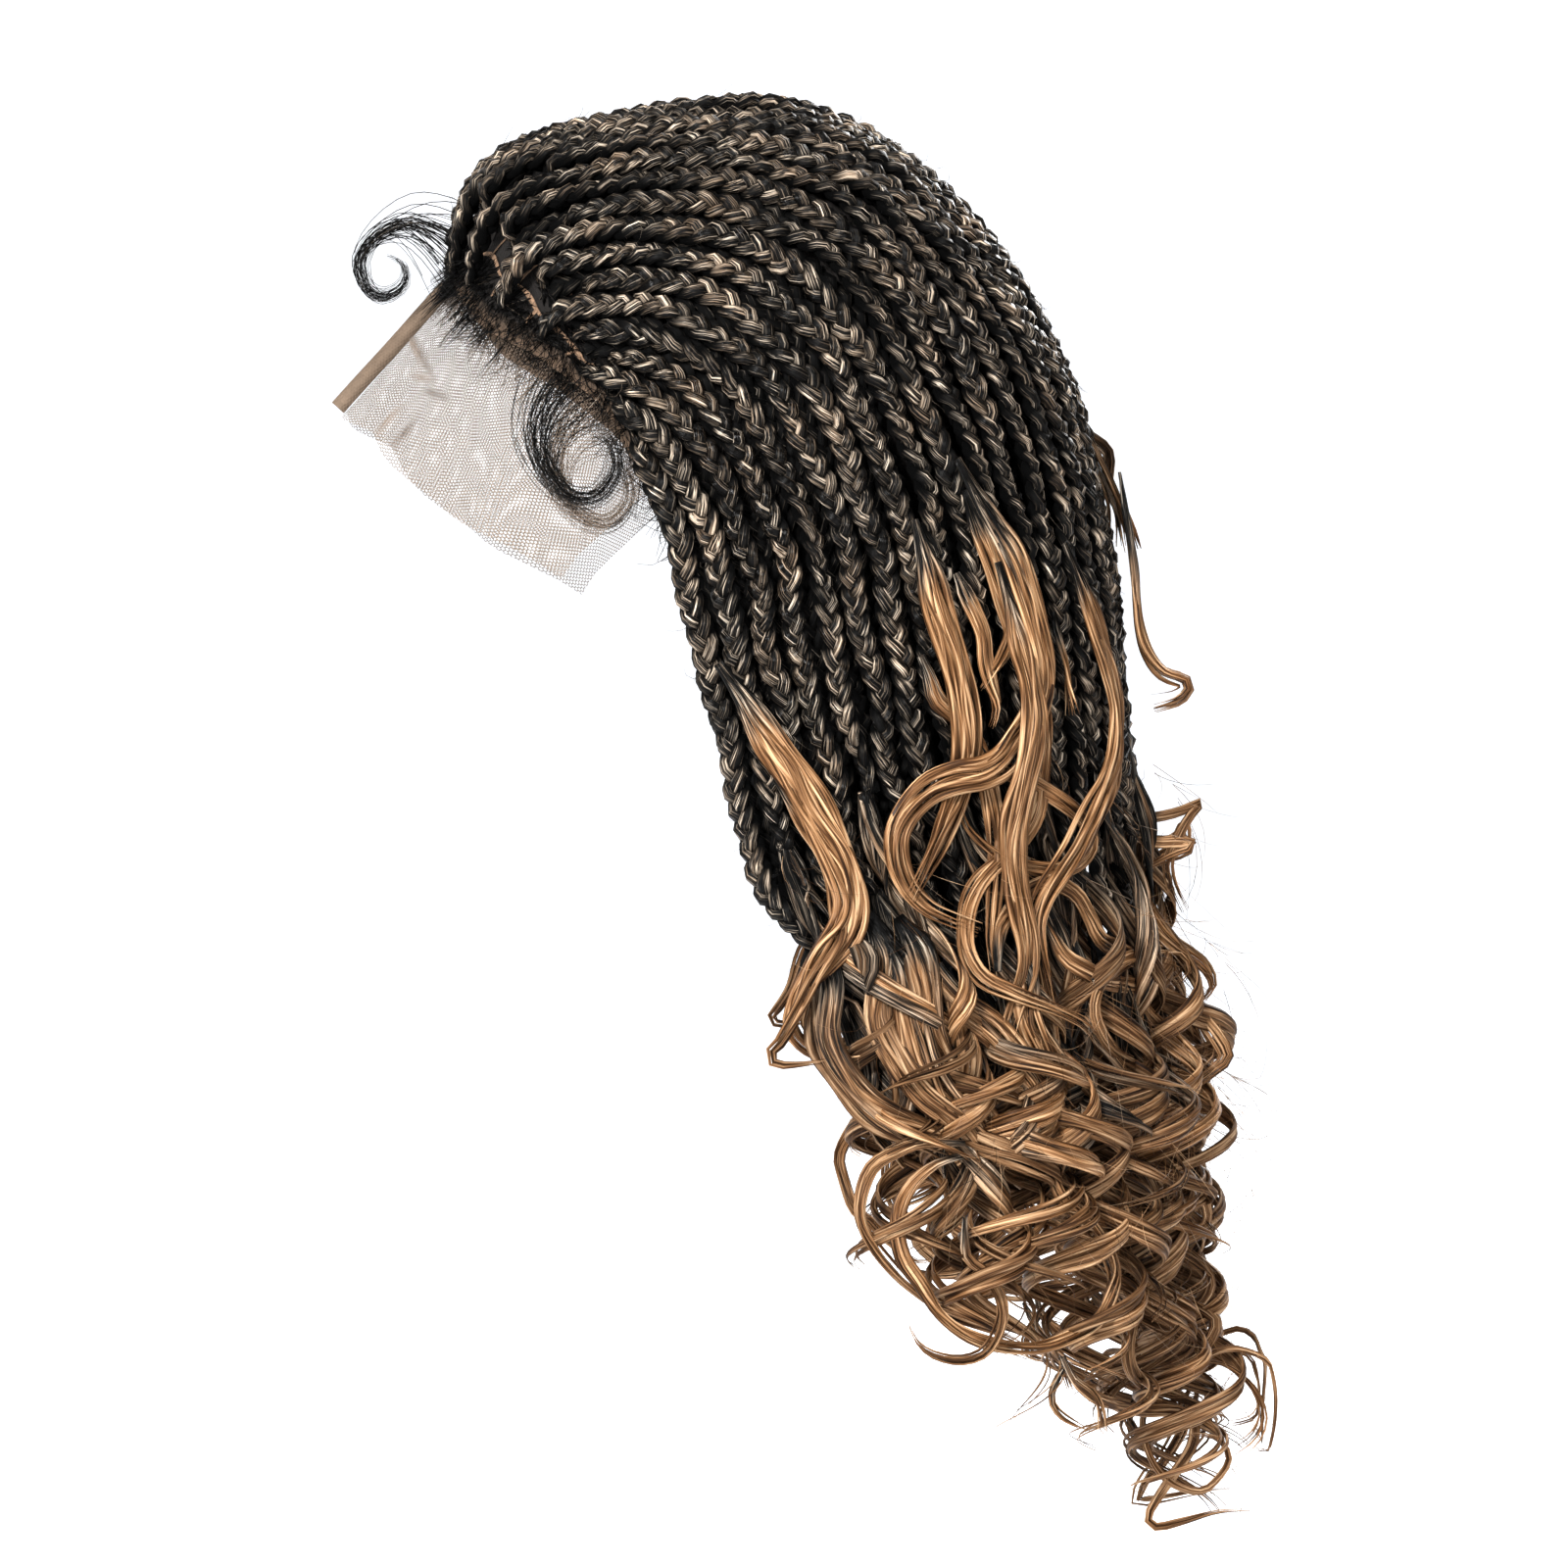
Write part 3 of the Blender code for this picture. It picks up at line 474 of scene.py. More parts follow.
@dataclass(frozen=True)
class Curtain:
    """The rows of braids under the outer ones, round the sides and back of the neck."""

    fan: BraidFan
    seat_room: float = 0.0029
    # Drop below the widest level as a share of the fall, inner half width and depth as shares of the head's,
    # thickness beside and behind the neck, and the front edge's angle in degrees from straight back
    rows: tuple = (
        (0.13, 0.992, 0.987, 0.0040, 0.0100, 88),
        (0.20, 0.935, 0.955, 0.0070, 0.0150, 85),
        (0.29, 0.910, 0.955, 0.0080, 0.0175, 82),
        (0.39, 0.900, 0.980, 0.0080, 0.0200, 76),
        (0.50, 0.910, 1.020, 0.0080, 0.0220, 69),
        (0.61, 0.950, 1.090, 0.0060, 0.0240, 60),
    )

    def row(self, at: float) -> tuple:
        """Drop, inner half width, inner depth, thicknesses and edge angle at a row number.

        Args:
            at: row number, which may lie between rows.

        Returns:
            The six values, in metres and radians.
        """
        drop, width, depth, beside, behind, edge = spline_rows(self.rows, [at])[0]
        head = self.fan.head
        return (
            head.crown + drop * self.fan.fall, width * head.half_width, depth * head.occiput, beside, behind,
            math.radians(edge),
        )

    def seat(self, turn: float, drop: float) -> float:
        """How far out the capped head reaches at a drop, at an angle from straight back.

        Args:
            turn: angle from straight back.
            drop: distance below the crown.

        Returns:
            The distance from the neck's axis.
        """
        head, room = self.fan.head, self.seat_room
        level = max(0.0, 1.0 - ((drop - head.crown) / (head.nape + room)) ** head.power) ** (1.0 / head.power)
        across, back = abs(math.sin(turn)), math.cos(turn)
        depth = (head.occiput if back > 0 else head.forehead) + room
        terms = (across / (head.half_width + room)) ** head.power + abs(back / depth) ** head.power
        return level * terms ** (-1.0 / head.power)

    def reach(self, turn: float, at: float) -> float:
        """How far the curtain's outer face stands from the neck's axis.

        Args:
            turn: angle from straight back.
            at: row number.

        Returns:
            The distance.
        """
        drop, across, back, beside, behind, _ = self.row(at)
        power = self.fan.head.power
        sideways = math.sin(turn) ** 2
        terms = (abs(math.sin(turn)) / across) ** power + (abs(math.cos(turn)) / back) ** power
        bow = terms ** (-1.0 / power)
        inner = max(bow, self.seat(turn, drop))
        return max(bow + behind + (beside - behind) * sideways, inner + beside)

    def push_out(self, points: Array, room: Array) -> Array:
        """The points moved level, away from the neck's axis, until they stand room off the outer face.

        Args:
            points: any points.
            room: the distance wanted, for each.

        Returns:
            The points, moved.
        """
        drops = np.array([self.fan.head.crown + row[0] * self.fan.fall for row in self.rows])
        numbers = np.arange(len(self.rows), dtype=float)
        turns = np.abs(np.arctan2(points[:, 0], points[:, 1]))
        reach = np.zeros(len(points))
        for i, (turn, drop) in enumerate(zip(turns, -points[:, 2])):
            if drops[0] - self.fan.radius <= drop <= drops[-1] + self.fan.radius:
                at = float(np.interp(drop, drops, numbers))
                if turn < self.row(at)[5] + 0.1:
                    reach[i] = self.reach(turn, at) + room[i]
        level = np.linalg.norm(points[:, :2], axis=1)
        moved = points.copy()
        moved[:, :2] *= np.where(level < reach, reach / np.maximum(level, 1e-6), 1.0)[:, None]
        return moved


@dataclass
class Spacing:
    """Moves strands apart until each pair stands clear, off the cap and the curtain."""

    fan: BraidFan
    curtain: Curtain
    rounds: int = 34
    smooth: float = 0.12
    margin: float = 1.3

    def pairs(self, knots: Array, starts: Array, owners: Array, reach: float) -> tuple:
        """Pairs of parts of two strands that come within reach.

        Args:
            knots: all strands' points.
            starts: the first point of each part.
            owners: the strand of each part.
            reach: how near they come.

        Returns:
            The parts' numbers, and the nearest place along each.
        """
        low, run = knots[starts], knots[starts + 1] - knots[starts]
        middle, half = low + run / 2, np.linalg.norm(run, axis=1) / 2
        square = (middle**2).sum(axis=1)
        apart = square[:, None] + square[None, :] - 2 * middle @ middle.T
        limit = (half[:, None] + half[None, :] + reach) ** 2
        one, other = np.nonzero((apart < limit) & (owners[:, None] < owners[None, :]))
        a, b, gap = run[one], run[other], low[one] - low[other]
        aa, bb, ab = (a * a).sum(1), (b * b).sum(1), (a * b).sum(1)
        ag, bg = (a * gap).sum(1), (b * gap).sum(1)
        share = np.clip((ab * bg - ag * bb) / np.maximum(aa * bb - ab * ab, 1e-14), 0.0, 1.0)
        for _ in range(2):
            opposite = np.clip((ab * share + bg) / bb, 0.0, 1.0)
            share = np.clip((ab * opposite - ag) / aa, 0.0, 1.0)
        return one, other, share, np.clip((ab * share + bg) / bb, 0.0, 1.0)

    @staticmethod
    def between(values: Array, first: Array, share: Array) -> Array:
        """Values read between points and the points after them."""
        share = share if values.ndim == 1 else share[:, None]
        return values[first] * (1 - share) + values[first + 1] * share

    def settle(self, lines: list[Array], radii: list[Array]) -> list[Array]:
        """The strands, spaced.

        Args:
            lines: each strand's points.
            radii: its radius at each point.

        Returns:
            The moved points of each strand.
        """
        counts = [len(line) for line in lines]
        ends = np.cumsum(counts)
        roots = ends - counts
        starts = np.concatenate([np.arange(root, end - 1) for root, end in zip(roots, ends)])
        owners = np.concatenate([np.full(count - 1, i) for i, count in enumerate(counts)])
        knots, wide = np.concatenate(lines), np.concatenate(radii)
        rest = knots.copy()
        inner = np.ones(len(knots), bool)
        inner[roots] = inner[ends - 1] = False
        gap, cap = self.fan.gap, self.fan.head.wall
        for _ in range(self.rounds):
            moves, weights = np.zeros_like(knots), np.full(len(knots), 1e-9)

            def push(first: Array, share: Array, shift: Array) -> None:
                """Shares a shift of a place between the two points round it.

                Args:
                    first: the point before the place.
                    share: where it lies between that point and the next.
                    shift: how far the place moves.
                """
                for knot, weight in ((first, 1 - share), (first + 1, share)):
                    weight = weight / ((1 - share) ** 2 + share**2)
                    np.add.at(moves, knot, shift * weight[:, None])
                    np.add.at(weights, knot, np.where(np.abs(shift).sum(axis=1) > 0, weight, 0.0))

            one, other, share, opposite = self.pairs(knots, starts, owners, 2 * self.fan.radius + gap)
            here, there = starts[one], starts[other]
            apart = self.between(knots, here, share) - self.between(knots, there, opposite)
            length = np.linalg.norm(apart, axis=1)
            need = self.between(wide, here, share) + self.between(wide, there, opposite) + self.margin * gap
            shift = apart * (np.clip(need - length, 0.0, None) / 2 / np.maximum(length, 1e-6))[:, None]
            push(here, share, shift)
            push(there, opposite, -shift)
            for part in (0.0, 0.33, 0.67):
                share = np.full(len(starts), part)
                places = self.between(knots, starts, share)
                room = self.between(wide, starts, share) + self.margin * gap
                clear = self.fan.head.off(self.curtain.push_out(places, room), cap + room)
                clear[:, 0] = np.maximum(clear[:, 0], room)
                push(starts, share, 2 * (clear - places))
            shifted = knots + moves / np.maximum(weights, 1.0)[:, None] - rest
            middle = (np.roll(shifted, 1, axis=0) + np.roll(shifted, -1, axis=0)) / 2
            shifted[inner] += (middle[inner] - shifted[inner]) * self.smooth
            shifted[roots] = 0.0
            knots = rest + shifted
        return np.split(knots, ends[:-1])


@dataclass(frozen=True)
class LacePanel:
    """The sheer panel that runs on from the front of the cap's rim."""

    head: HeadForm
    reach: float = 0.060
    drop: float = 0.0013
    slope_at: float = 0.012
    # Azimuth on the rim in degrees, reach as a share, and how far it leans forward
    rays: tuple = (
        (0, 0.97, 0.67), (10, 0.93, 0.64), (20, 0.89, 0.56), (33, 0.93, 0.42), (47, 0.98, 0.35),
        (60, 0.96, 0.18), (70, 0.12, 0.10),
    )

    def ray(self, azimuth: float) -> tuple[Array, Array, float]:
        """Start on the rim, direction and reach at an azimuth in degrees.

        Args:
            azimuth: degrees from the middle of the forehead.

        Returns:
            The start, the unit direction and the reach.
        """
        angles = [row[0] for row in self.rays]
        reach = float(np.interp(abs(azimuth), angles, [row[1] for row in self.rays])) * self.reach
        lean = float(np.interp(abs(azimuth), angles, [row[2] for row in self.rays]))
        start = self.head.rim_point(azimuth, 0.0, lower=self.drop)
        down = self.head.rim_point(azimuth, 0.0, lower=self.slope_at) - start
        down = unit(np.array([down[0] * 0.35, 0.0, down[2]]))
        return start, unit(down * math.sqrt(1 - lean**2) + np.array([0.0, -lean, 0.0])), reach

    def arc(self, azimuth: float) -> float:
        """Length along the rim from its middle to an azimuth in degrees.

        Args:
            azimuth: degrees from the middle of the forehead.

        Returns:
            The length, below nothing on the right.
        """
        angles = np.linspace(0.0, abs(azimuth), 24)
        points = np.array([self.ray(float(angle))[0] for angle in angles])
        return math.copysign(float(lengths_along(points)[-1]), azimuth)

    def grid(self) -> Array:
        """Points on the left half, to read how far across it stands.

        Returns:
            The points.
        """
        placed = []
        for azimuth in np.linspace(20.0, self.rays[-1][0], 40):
            start, direction, reach = self.ray(azimuth)
            placed += [start + direction * reach * share for share in np.linspace(0.0, 1.0, 40)]
        return np.array(placed)


# Shader maths

class Value:
    """A socket of a node tree. Arithmetic on it adds Math nodes."""

    def __init__(self, nodes: "Nodes", socket: bpy.types.NodeSocket) -> None:
        """Wraps one output socket of the tree that nodes builds."""
        self.nodes, self.socket = nodes, socket

    def _math(self, operation: str, first: object, second: object) -> "Value":
        """A Math node of that operation on two values."""
        return self.nodes.add("ShaderNodeMath", {"operation": operation}, {0: first, 1: second})

    def __add__(self, other: object) -> "Value":
        """This value plus another."""
        return self._math("ADD", self, other)

    def __sub__(self, other: object) -> "Value":
        """This value less another."""
        return self._math("SUBTRACT", self, other)

    def __rsub__(self, other: object) -> "Value":
        """Another value less this one."""
        return self._math("SUBTRACT", other, self)

    def __mul__(self, other: object) -> "Value":
        """This value times another."""
        return self._math("MULTIPLY", self, other)

    def __truediv__(self, other: object) -> "Value":
        """This value over another."""
        return self._math("DIVIDE", self, other)

    def clamp(self) -> "Value":
        """This value kept between 0 and 1."""
        return self.nodes.add("ShaderNodeClamp", {}, {0: self})

    def cosine(self) -> "Value":
        """The cosine of this value."""
        return self._math("COSINE", self, 0.0)

    def highest(self, other: object) -> "Value":
        """The greater of this value and another."""
        return self._math("MAXIMUM", self, other)


class Nodes:
    """Builds the node tree of a material or of the world."""

    def __init__(self, owner: object) -> None:
        """Empties the node tree of its owner, to build it anew.

        Args:
            owner: the material or the world.
        """
        self.owner = owner
        owner.use_nodes = True
        self.tree = owner.node_tree
        self.tree.nodes.clear()

    @classmethod
    def of_material(cls, name: str) -> "Nodes":
        """The nodes of a new material."""
        return cls(bpy.data.materials.new(name))

    def add(self, kind: str, settings: dict, inputs: dict, output: object = 0) -> Value:
        """Adds a node.

        Args:
            kind: the node's type.
            settings: properties by name, and stops, the places and colours of a ramp.
            inputs: values or links by the socket's name or number.
            output: the output wanted, by name or number.

        Returns:
            That output.
        """
        node = self.tree.nodes.new(kind)
        for name, value in settings.items():
            if name != "stops":
                setattr(node, name, value)
                continue
            elements = node.color_ramp.elements
            while len(elements) < len(value):
                elements.new(0.5)
            for element, (place, colour) in zip(elements, value):
                element.position, element.color = place, (*colour, 1.0)
        for name, value in inputs.items():
            if isinstance(value, Value):
                self.tree.links.new(value.socket, node.inputs[name])
            else:
                node.inputs[name].default_value = value
        return Value(self, node.outputs[output])

    def attribute(self, name: str, output: str = "Fac") -> Value:
        """A value stored on the mesh's points."""
        return self.add("ShaderNodeAttribute", {"attribute_name": name}, {}, output)

    def stretched(self, place: Value, scale: tuple[float, float, float]) -> Value:
        """A place multiplied by a scale for each axis."""
        return self.add("ShaderNodeVectorMath", {"operation": "MULTIPLY"}, {0: place, 1: scale}, "Vector")

    def noise(self, place: Value, detail: float, roughness: float) -> Value:
        """Noise of about unit size at a place."""
        inputs = {"Vector": place, "Scale": 1.0, "Detail": detail, "Roughness": roughness}
        return self.add("ShaderNodeTexNoise", {}, inputs, "Fac")

    def ramp(self, value: Value, stops: tuple) -> Value:
        """A colour for a value, from places and colours."""
        return self.add("ShaderNodeValToRGB", {"stops": stops}, {0: value}, "Color")

    def mix(self, share: object, first: object, second: object) -> Value:
        """Two colours mixed by a share."""
        return self.add("ShaderNodeMix", {"data_type": "RGBA"}, {0: share, 6: first, 7: second}, 2)

    def bump(self, height: Value, strength: float, distance: float) -> Value:
        """A normal from a height."""
        return self.add("ShaderNodeBump", {}, {"Height": height, "Strength": strength, "Distance": distance})

    def surface(self, inputs: dict) -> bpy.types.Material:
        """Ends the tree with a Principled shader.

        Args:
            inputs: its values and links by socket name.

        Returns:
            The material.
        """
        self.end("ShaderNodeOutputMaterial", self.add("ShaderNodeBsdfPrincipled", {}, inputs))
        return self.owner

    def end(self, kind: str, shader: Value) -> None:
        """Links a shader to an output node of a kind."""
        node = self.tree.nodes.new(kind)
        self.tree.links.new(shader.socket, node.inputs["Surface"])


def opaque(colour: tuple) -> tuple:
    """A colour with full alpha."""
    return (*colour, 1.0)


# Finishes

@dataclass(frozen=True)
class HairFinish:
    """Synthetic hair whose fibres run along the strand, black to honey with the tone, with painted sheen and
    shade.
    """

    name: str = "wig_hair"
    black: tuple = (0.0016, 0.0013, 0.0012)
    smoke: tuple = (0.0045, 0.0038, 0.0031)
    # Streak colours of the black hair: partly paler ash fibres, partly painted sheen
    ash_fibres_and_sheen: tuple = (
        (0.34, (0.016, 0.012, 0.008)), (0.49, (0.200, 0.160, 0.120)), (0.63, (0.640, 0.550, 0.450)),
    )
    honeys: tuple = (
        (0.33, (0.016, 0.006, 0.002)), (0.43, (0.095, 0.043, 0.016)), (0.53, (0.260, 0.142, 0.068)),
        (0.68, (0.600, 0.410, 0.250)),
    )
    fibre_width: float = 0.00040
    fibre_run: float = 0.013
    clump_width: float = 0.0016
    clump_run: float = 0.030
    roughness: float = 0.34
    shine: float = 0.14
    relief: float = 0.85
    relief_depth: float = 0.0008
    fine_share: float = 0.70
    streak_level: float = 0.75
    streak_tone: float = 0.60
    streak_edge: float = 7.0

    def material(self) -> bpy.types.Material:
        """The hair's material.

        Returns:
            The material.
        """
        nodes = Nodes.of_material(self.name)
        fibre = nodes.attribute("fibre", "Vector")
        tone, shade = nodes.attribute("tone"), nodes.attribute("shade")
        thin, run = 1.0 / self.fibre_width, 1.0 / self.fibre_run
        fine = nodes.noise(nodes.stretched(fibre, (thin, thin, run)), 2.0, 0.55)
        wide, long = 1.0 / self.clump_width, 1.0 / self.clump_run
        clump = nodes.noise(nodes.stretched(fibre, (wide, wide, long)), 1.0, 0.5)
        tint = nodes.noise(nodes.stretched(fibre, (0.63 * thin, 0.63 * thin, 0.8 * run)), 1.0, 0.5)
        mixed = fine * self.fine_share + clump * (1.0 - self.fine_share)
        # Where the pale streaks show, more as the tone rises: paler fibres, and on the plaits painted sheen
        pale_fibres_and_sheen = ((mixed - self.streak_level + tone * self.streak_tone) * self.streak_edge).clamp()
        dark = nodes.mix(((fine - 0.35) * 2.2).clamp(), opaque(self.black), opaque(self.smoke))
        tinted = tint * 0.62 + clump * 0.38
        golden = ((tone - 0.38) * 3.0).clamp()
        light = nodes.mix(golden, nodes.ramp(tinted, self.ash_fibres_and_sheen), nodes.ramp(tinted, self.honeys))
        colour = nodes.mix(pale_fibres_and_sheen, dark, light)
        # Painted shade: the shade attribute darkens plait lobe ends, inner faces and inner plaits
        inputs = {0: colour, "Scale": shade}
        shaded = nodes.add("ShaderNodeVectorMath", {"operation": "SCALE"}, inputs, "Vector")
        return nodes.surface({
            "Base Color": shaded,
            "Roughness": (1.0 - shade * (1.0 - self.roughness)).clamp(),
            "Specular IOR Level": self.shine,
            "Normal": nodes.bump(fine * 0.7 + clump * 0.5, self.relief, self.relief_depth),
        })


@dataclass(frozen=True)
class NetFinish:
    """Fine net of round meshes set in rows, clear between its threads or backed by hair roots."""

    name: str
    thread: tuple
    backed: tuple = None
    cell: float = 0.00115
    clear: bool = True
    patches: float = 180.0
    thread_level: float = -0.24
    thread_edge: float = 11.0

    def holes(self, nodes: Nodes) -> Value:
        """One at the middle of each mesh and below nothing on its threads.

        Args:
            nodes: the tree that is built.

        Returns:
            The value at each place.
        """
        place = nodes.attribute("weave", "Vector")
        rate = 4 * math.pi / (math.sqrt(3.0) * self.cell)
        waves = []
        for turn in (0.0, 60.0, 120.0):
            angle = math.radians(turn)
            way = (rate * math.cos(angle), rate * math.sin(angle), 0.0)
            settings = {"operation": "DOT_PRODUCT"}
            waves.append(nodes.add("ShaderNodeVectorMath", settings, {0: place, 1: way}, "Value").cosine())
        return (waves[0] + waves[1] + waves[2]) / 3.0

    def material(self) -> bpy.types.Material:
        """The net's material.

        Returns:
            The material.
        """
        nodes = Nodes.of_material(self.name)
        holes = self.holes(nodes)
        dense = nodes.attribute("dense")
        thread = ((self.thread_level - holes) * self.thread_edge).clamp()
        cover = thread.highest(dense)
        place = nodes.attribute("weave", "Vector")
        patch = nodes.noise(nodes.stretched(place, (self.patches,) * 3), 2.0, 0.5)
        low, high = tuple(0.72 * c for c in self.thread), tuple(min(1.0, 1.2 * c) for c in self.thread)
        colour = nodes.mix(patch, opaque(low), opaque(high))
        if self.backed:
            colour = nodes.mix(dense, colour, opaque(self.backed))
        inputs = {
            "Base Color": colour,
            "Roughness": 0.85,
            "Normal": nodes.bump(holes * -1.0, 0.4, 0.0002),
        }
        if self.clear:
            inputs["Alpha"] = cover
        return nodes.surface(inputs)


@dataclass(frozen=True)
class PartingFinish:
    """Tan mesh of the cap where it shows between the hairs."""

    name: str = "cap_parting"
    colour: tuple = (0.34, 0.22, 0.14)
    grains: float = 900.0

    def material(self) -> bpy.types.Material:
        """The partings' material.

        Returns:
            The material.
        """
        nodes = Nodes.of_material(self.name)
        place = nodes.attribute("fibre", "Vector")
        grain = nodes.noise(nodes.stretched(place, (self.grains,) * 3), 2.0, 0.6)
        low = tuple(0.45 * c for c in self.colour)
        colour = nodes.mix(((grain - 0.3) * 2.5).clamp(), opaque(low), opaque(self.colour))
        bump = nodes.bump(grain, 0.4, 0.0002)
        return nodes.surface({"Base Color": colour, "Roughness": 0.8, "Normal": bump})


@dataclass(frozen=True)
class StudioFinish:
    """Plain matt white of the floor and its sweep."""

    name: str = "studio_white"
    colour: tuple = (0.80, 0.81, 0.83)
    glow: float = 0.58

    def material(self) -> bpy.types.Material:
        """The floor's material."""
        nodes = Nodes.of_material(self.name)
        return nodes.surface({
            "Base Color": opaque(self.colour), "Roughness": 0.9,
            "Emission Color": opaque(self.colour), "Emission Strength": self.glow,
        })


# Strands

@dataclass
class StrandMesh:
    """Collects closed strands and turns them into one object."""

    name: str
    rng: np.random.Generator
    knots: list = field(default_factory=list)
    corners: list = field(default_factory=list)
    sizes: list = field(default_factory=list)
    fibre: list = field(default_factory=list)
    tones: list = field(default_factory=list)
    shades: list = field(default_factory=list)
    total: int = 0

    def add(
        self, centres: Array, up: Array, wide: Array, thick: Array, sides: int, tone: Array, shade: Array,
        under: float = 0.0,
    ) -> None:
        """Adds strands that have as many rings as each other.

        Args:
            centres: centre of each ring, for each strand.
            up: direction of the ring's thickness.
            wide: half width of each ring.
            thick: half thickness of each ring.
            sides: corners of a ring.
            tone: 0 black to 1 honey, for each ring.
            shade: brightness, one for each strand or for each ring; random, and painted shade on the plaits.
            under: how much darker the inner face is, as a share: painted shade on the face turned in.
        """
        count, rings, _ = centres.shape
        ahead = unit(np.gradient(centres, axis=1))
        up = unit(up - (up * ahead).sum(axis=2, keepdims=True) * ahead)
        aside = np.cross(ahead, up)
        turns = 2 * math.pi * (np.arange(sides) + 0.5) / sides
        flat, high = wide[:, :, None] * np.cos(turns), thick[:, :, None] * np.sin(turns)
        places = centres[:, :, None, :] + flat[..., None] * aside[:, :, None, :]
        places = places + high[..., None] * up[:, :, None, :]
        steps = np.linalg.norm(np.diff(centres, axis=1), axis=2)
        along = np.concatenate([np.zeros((count, 1)), np.cumsum(steps, axis=1)], axis=1)
        start = self.rng.uniform(0.0, 0.6, (count, 1, 1, 3))
        grain = np.stack([flat, high, np.broadcast_to(along[:, :, None], flat.shape)], axis=3) + start
        self.knots.append(places.reshape(-1, 3))
        self.fibre.append(grain.reshape(-1, 3))
        self.tones.append(np.repeat(np.clip(tone, 0.0, 1.0).reshape(-1), sides))
        # Painted shade on the inner face of each strand
        around = 1.0 - under * smoothstep(-0.2, 0.9, -np.sin(turns))
        self.shades.append((np.broadcast_to(shade.reshape(count, -1, 1), flat.shape) * around).reshape(-1))
        first = self.total + (np.arange(count) * rings * sides)[:, None, None]
        ring = first + (np.arange(rings - 1) * sides)[None, :, None]
        here, there = np.arange(sides), (np.arange(sides) + 1) % sides
        quads = np.stack([ring + here, ring + sides + here, ring + sides + there, ring + there], axis=3)
        caps = np.stack([first[:, 0] + here, first[:, 0] + (rings - 1) * sides + here[::-1]], axis=1)
        self.corners += [quads.reshape(-1), caps.reshape(-1)]
        self.sizes += [np.full(quads.size // 4, 4), np.full(2 * count, sides)]
        self.total += count * rings * sides

    def build(self, material: bpy.types.Material, slot: str, nodes: list[str]) -> bpy.types.Object:
        """Makes the object.

        Args:
            material: its finish.
            slot: not used.
            nodes: the solids that it stands for.

        Returns:
            The object.
        """
        mesh = mesh_of(self.name, *(np.concatenate(part) for part in (self.knots, self.corners, self.sizes)))
        set_points(mesh, "fibre", np.concatenate(self.fibre))
        set_points(mesh, "tone", np.concatenate(self.tones))
        set_points(mesh, "shade", np.concatenate(self.shades))
        return dress(mesh, material, nodes)


def mesh_of(name: str, knots: Array, corners: Array, sizes: Array) -> bpy.types.Mesh:
    """A smooth-shaded mesh.

    Args:
        name: its name.
        knots: its points.
        corners: point numbers of the faces, face after face.
        sizes: corners of each face.

    Returns:
        The mesh.
    """
    mesh = bpy.data.meshes.new(name)
    mesh.vertices.add(len(knots))
    mesh.vertices.foreach_set("co", knots.astype(np.float32).ravel())
    mesh.loops.add(len(corners))
    mesh.loops.foreach_set("vertex_index", corners.astype(np.int32))
    mesh.polygons.add(len(sizes))
    mesh.polygons.foreach_set("loop_start", (np.cumsum(sizes) - sizes).astype(np.int32))
    mesh.update(calc_edges=True)
    mesh.shade_smooth()
    return mesh


def set_points(mesh: bpy.types.Mesh, name: str, values: Array) -> None:
    """Stores a number or a vector on each point of a mesh."""
    kind, key = ("FLOAT", "value") if values.ndim == 1 else ("FLOAT_VECTOR", "vector")
    mesh.attributes.new(name, kind, "POINT").data.foreach_set(key, values.astype(np.float32).ravel())


def dress(
    mesh: bpy.types.Mesh, material: bpy.types.Material, nodes: list[str]
) -> bpy.types.Object:
    """An object of the mesh, which rides on the body and stands for solids.

    Args:
        mesh: its mesh.
        material: its finish.
        nodes: the solids that it stands for.

    Returns:
        The object.
    """
    mesh.materials.append(material)
    made = bpy.data.objects.new(mesh.name, mesh)
    bpy.context.scene.collection.objects.link(made)
    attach(made, BODY)
    if nodes:
        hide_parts(*nodes)
    LOG.info("%s: %d faces", made.name, len(mesh.polygons))
    return made


def sheet_mesh(name: str, rows: Array, closed: bool) -> bpy.types.Mesh:
    """A sheet through rows of points.

    Args:
        name: the mesh's name.
        rows: the points, row after row.
        closed: whether each row runs round to its start.

    Returns:
        The mesh.
    """
    levels, count, _ = rows.shape
    spans = np.arange(count if closed else count - 1)
    low = (np.arange(levels - 1) * count)[:, None]
    here, there = low + spans, low + (spans + 1) % count
    quads = np.stack([here, here + count, there + count, there], axis=2)
    return mesh_of(name, rows.reshape(-1, 3), quads.ravel(), np.full(quads.size // 4, 4))


def kept_in(points: Array) -> Array:
    """Points drawn back where they stand far out to the sides, behind or below.

    Args:
        points: any points.

    Returns:
        The points, moved.
    """
    across, back = np.abs(points[..., 0]), points[..., 1]
    past_across, past_behind = across - ROOM_ACROSS, back - ROOM_BEHIND
    drawn = points.copy()
    drawn[..., 0] = np.where(past_across > 0, ROOM_ACROSS + KEPT_PAST_ROOM * past_across, across)
    drawn[..., 0] *= np.sign(points[..., 0])
    drawn[..., 1] = np.where(past_behind > 0, ROOM_BEHIND + KEPT_PAST_ROOM * past_behind, back)
    drawn[..., 2] = np.maximum(points[..., 2], -ROOM_BELOW)
    return drawn


def as_seen(points: Array) -> Array:
    """Points whose side view is as seen square from the side, moved to where the camera sees them so.

    Args:
        points: any points.

    Returns:
        The points, moved.
    """
    nearer = 1.0 - points[:, :1] / Studio.distance
    middle = np.array(Studio.aim)
    return np.concatenate([points[:, :1], middle + (points[:, 1:] - middle) * nearer], axis=1)


def mirrored(points: Array, side: Side) -> Array:
    """Points of the left side, as they lie on a side."""
    return points * np.array([side.value, 1.0, 1.0])


# Hair pieces

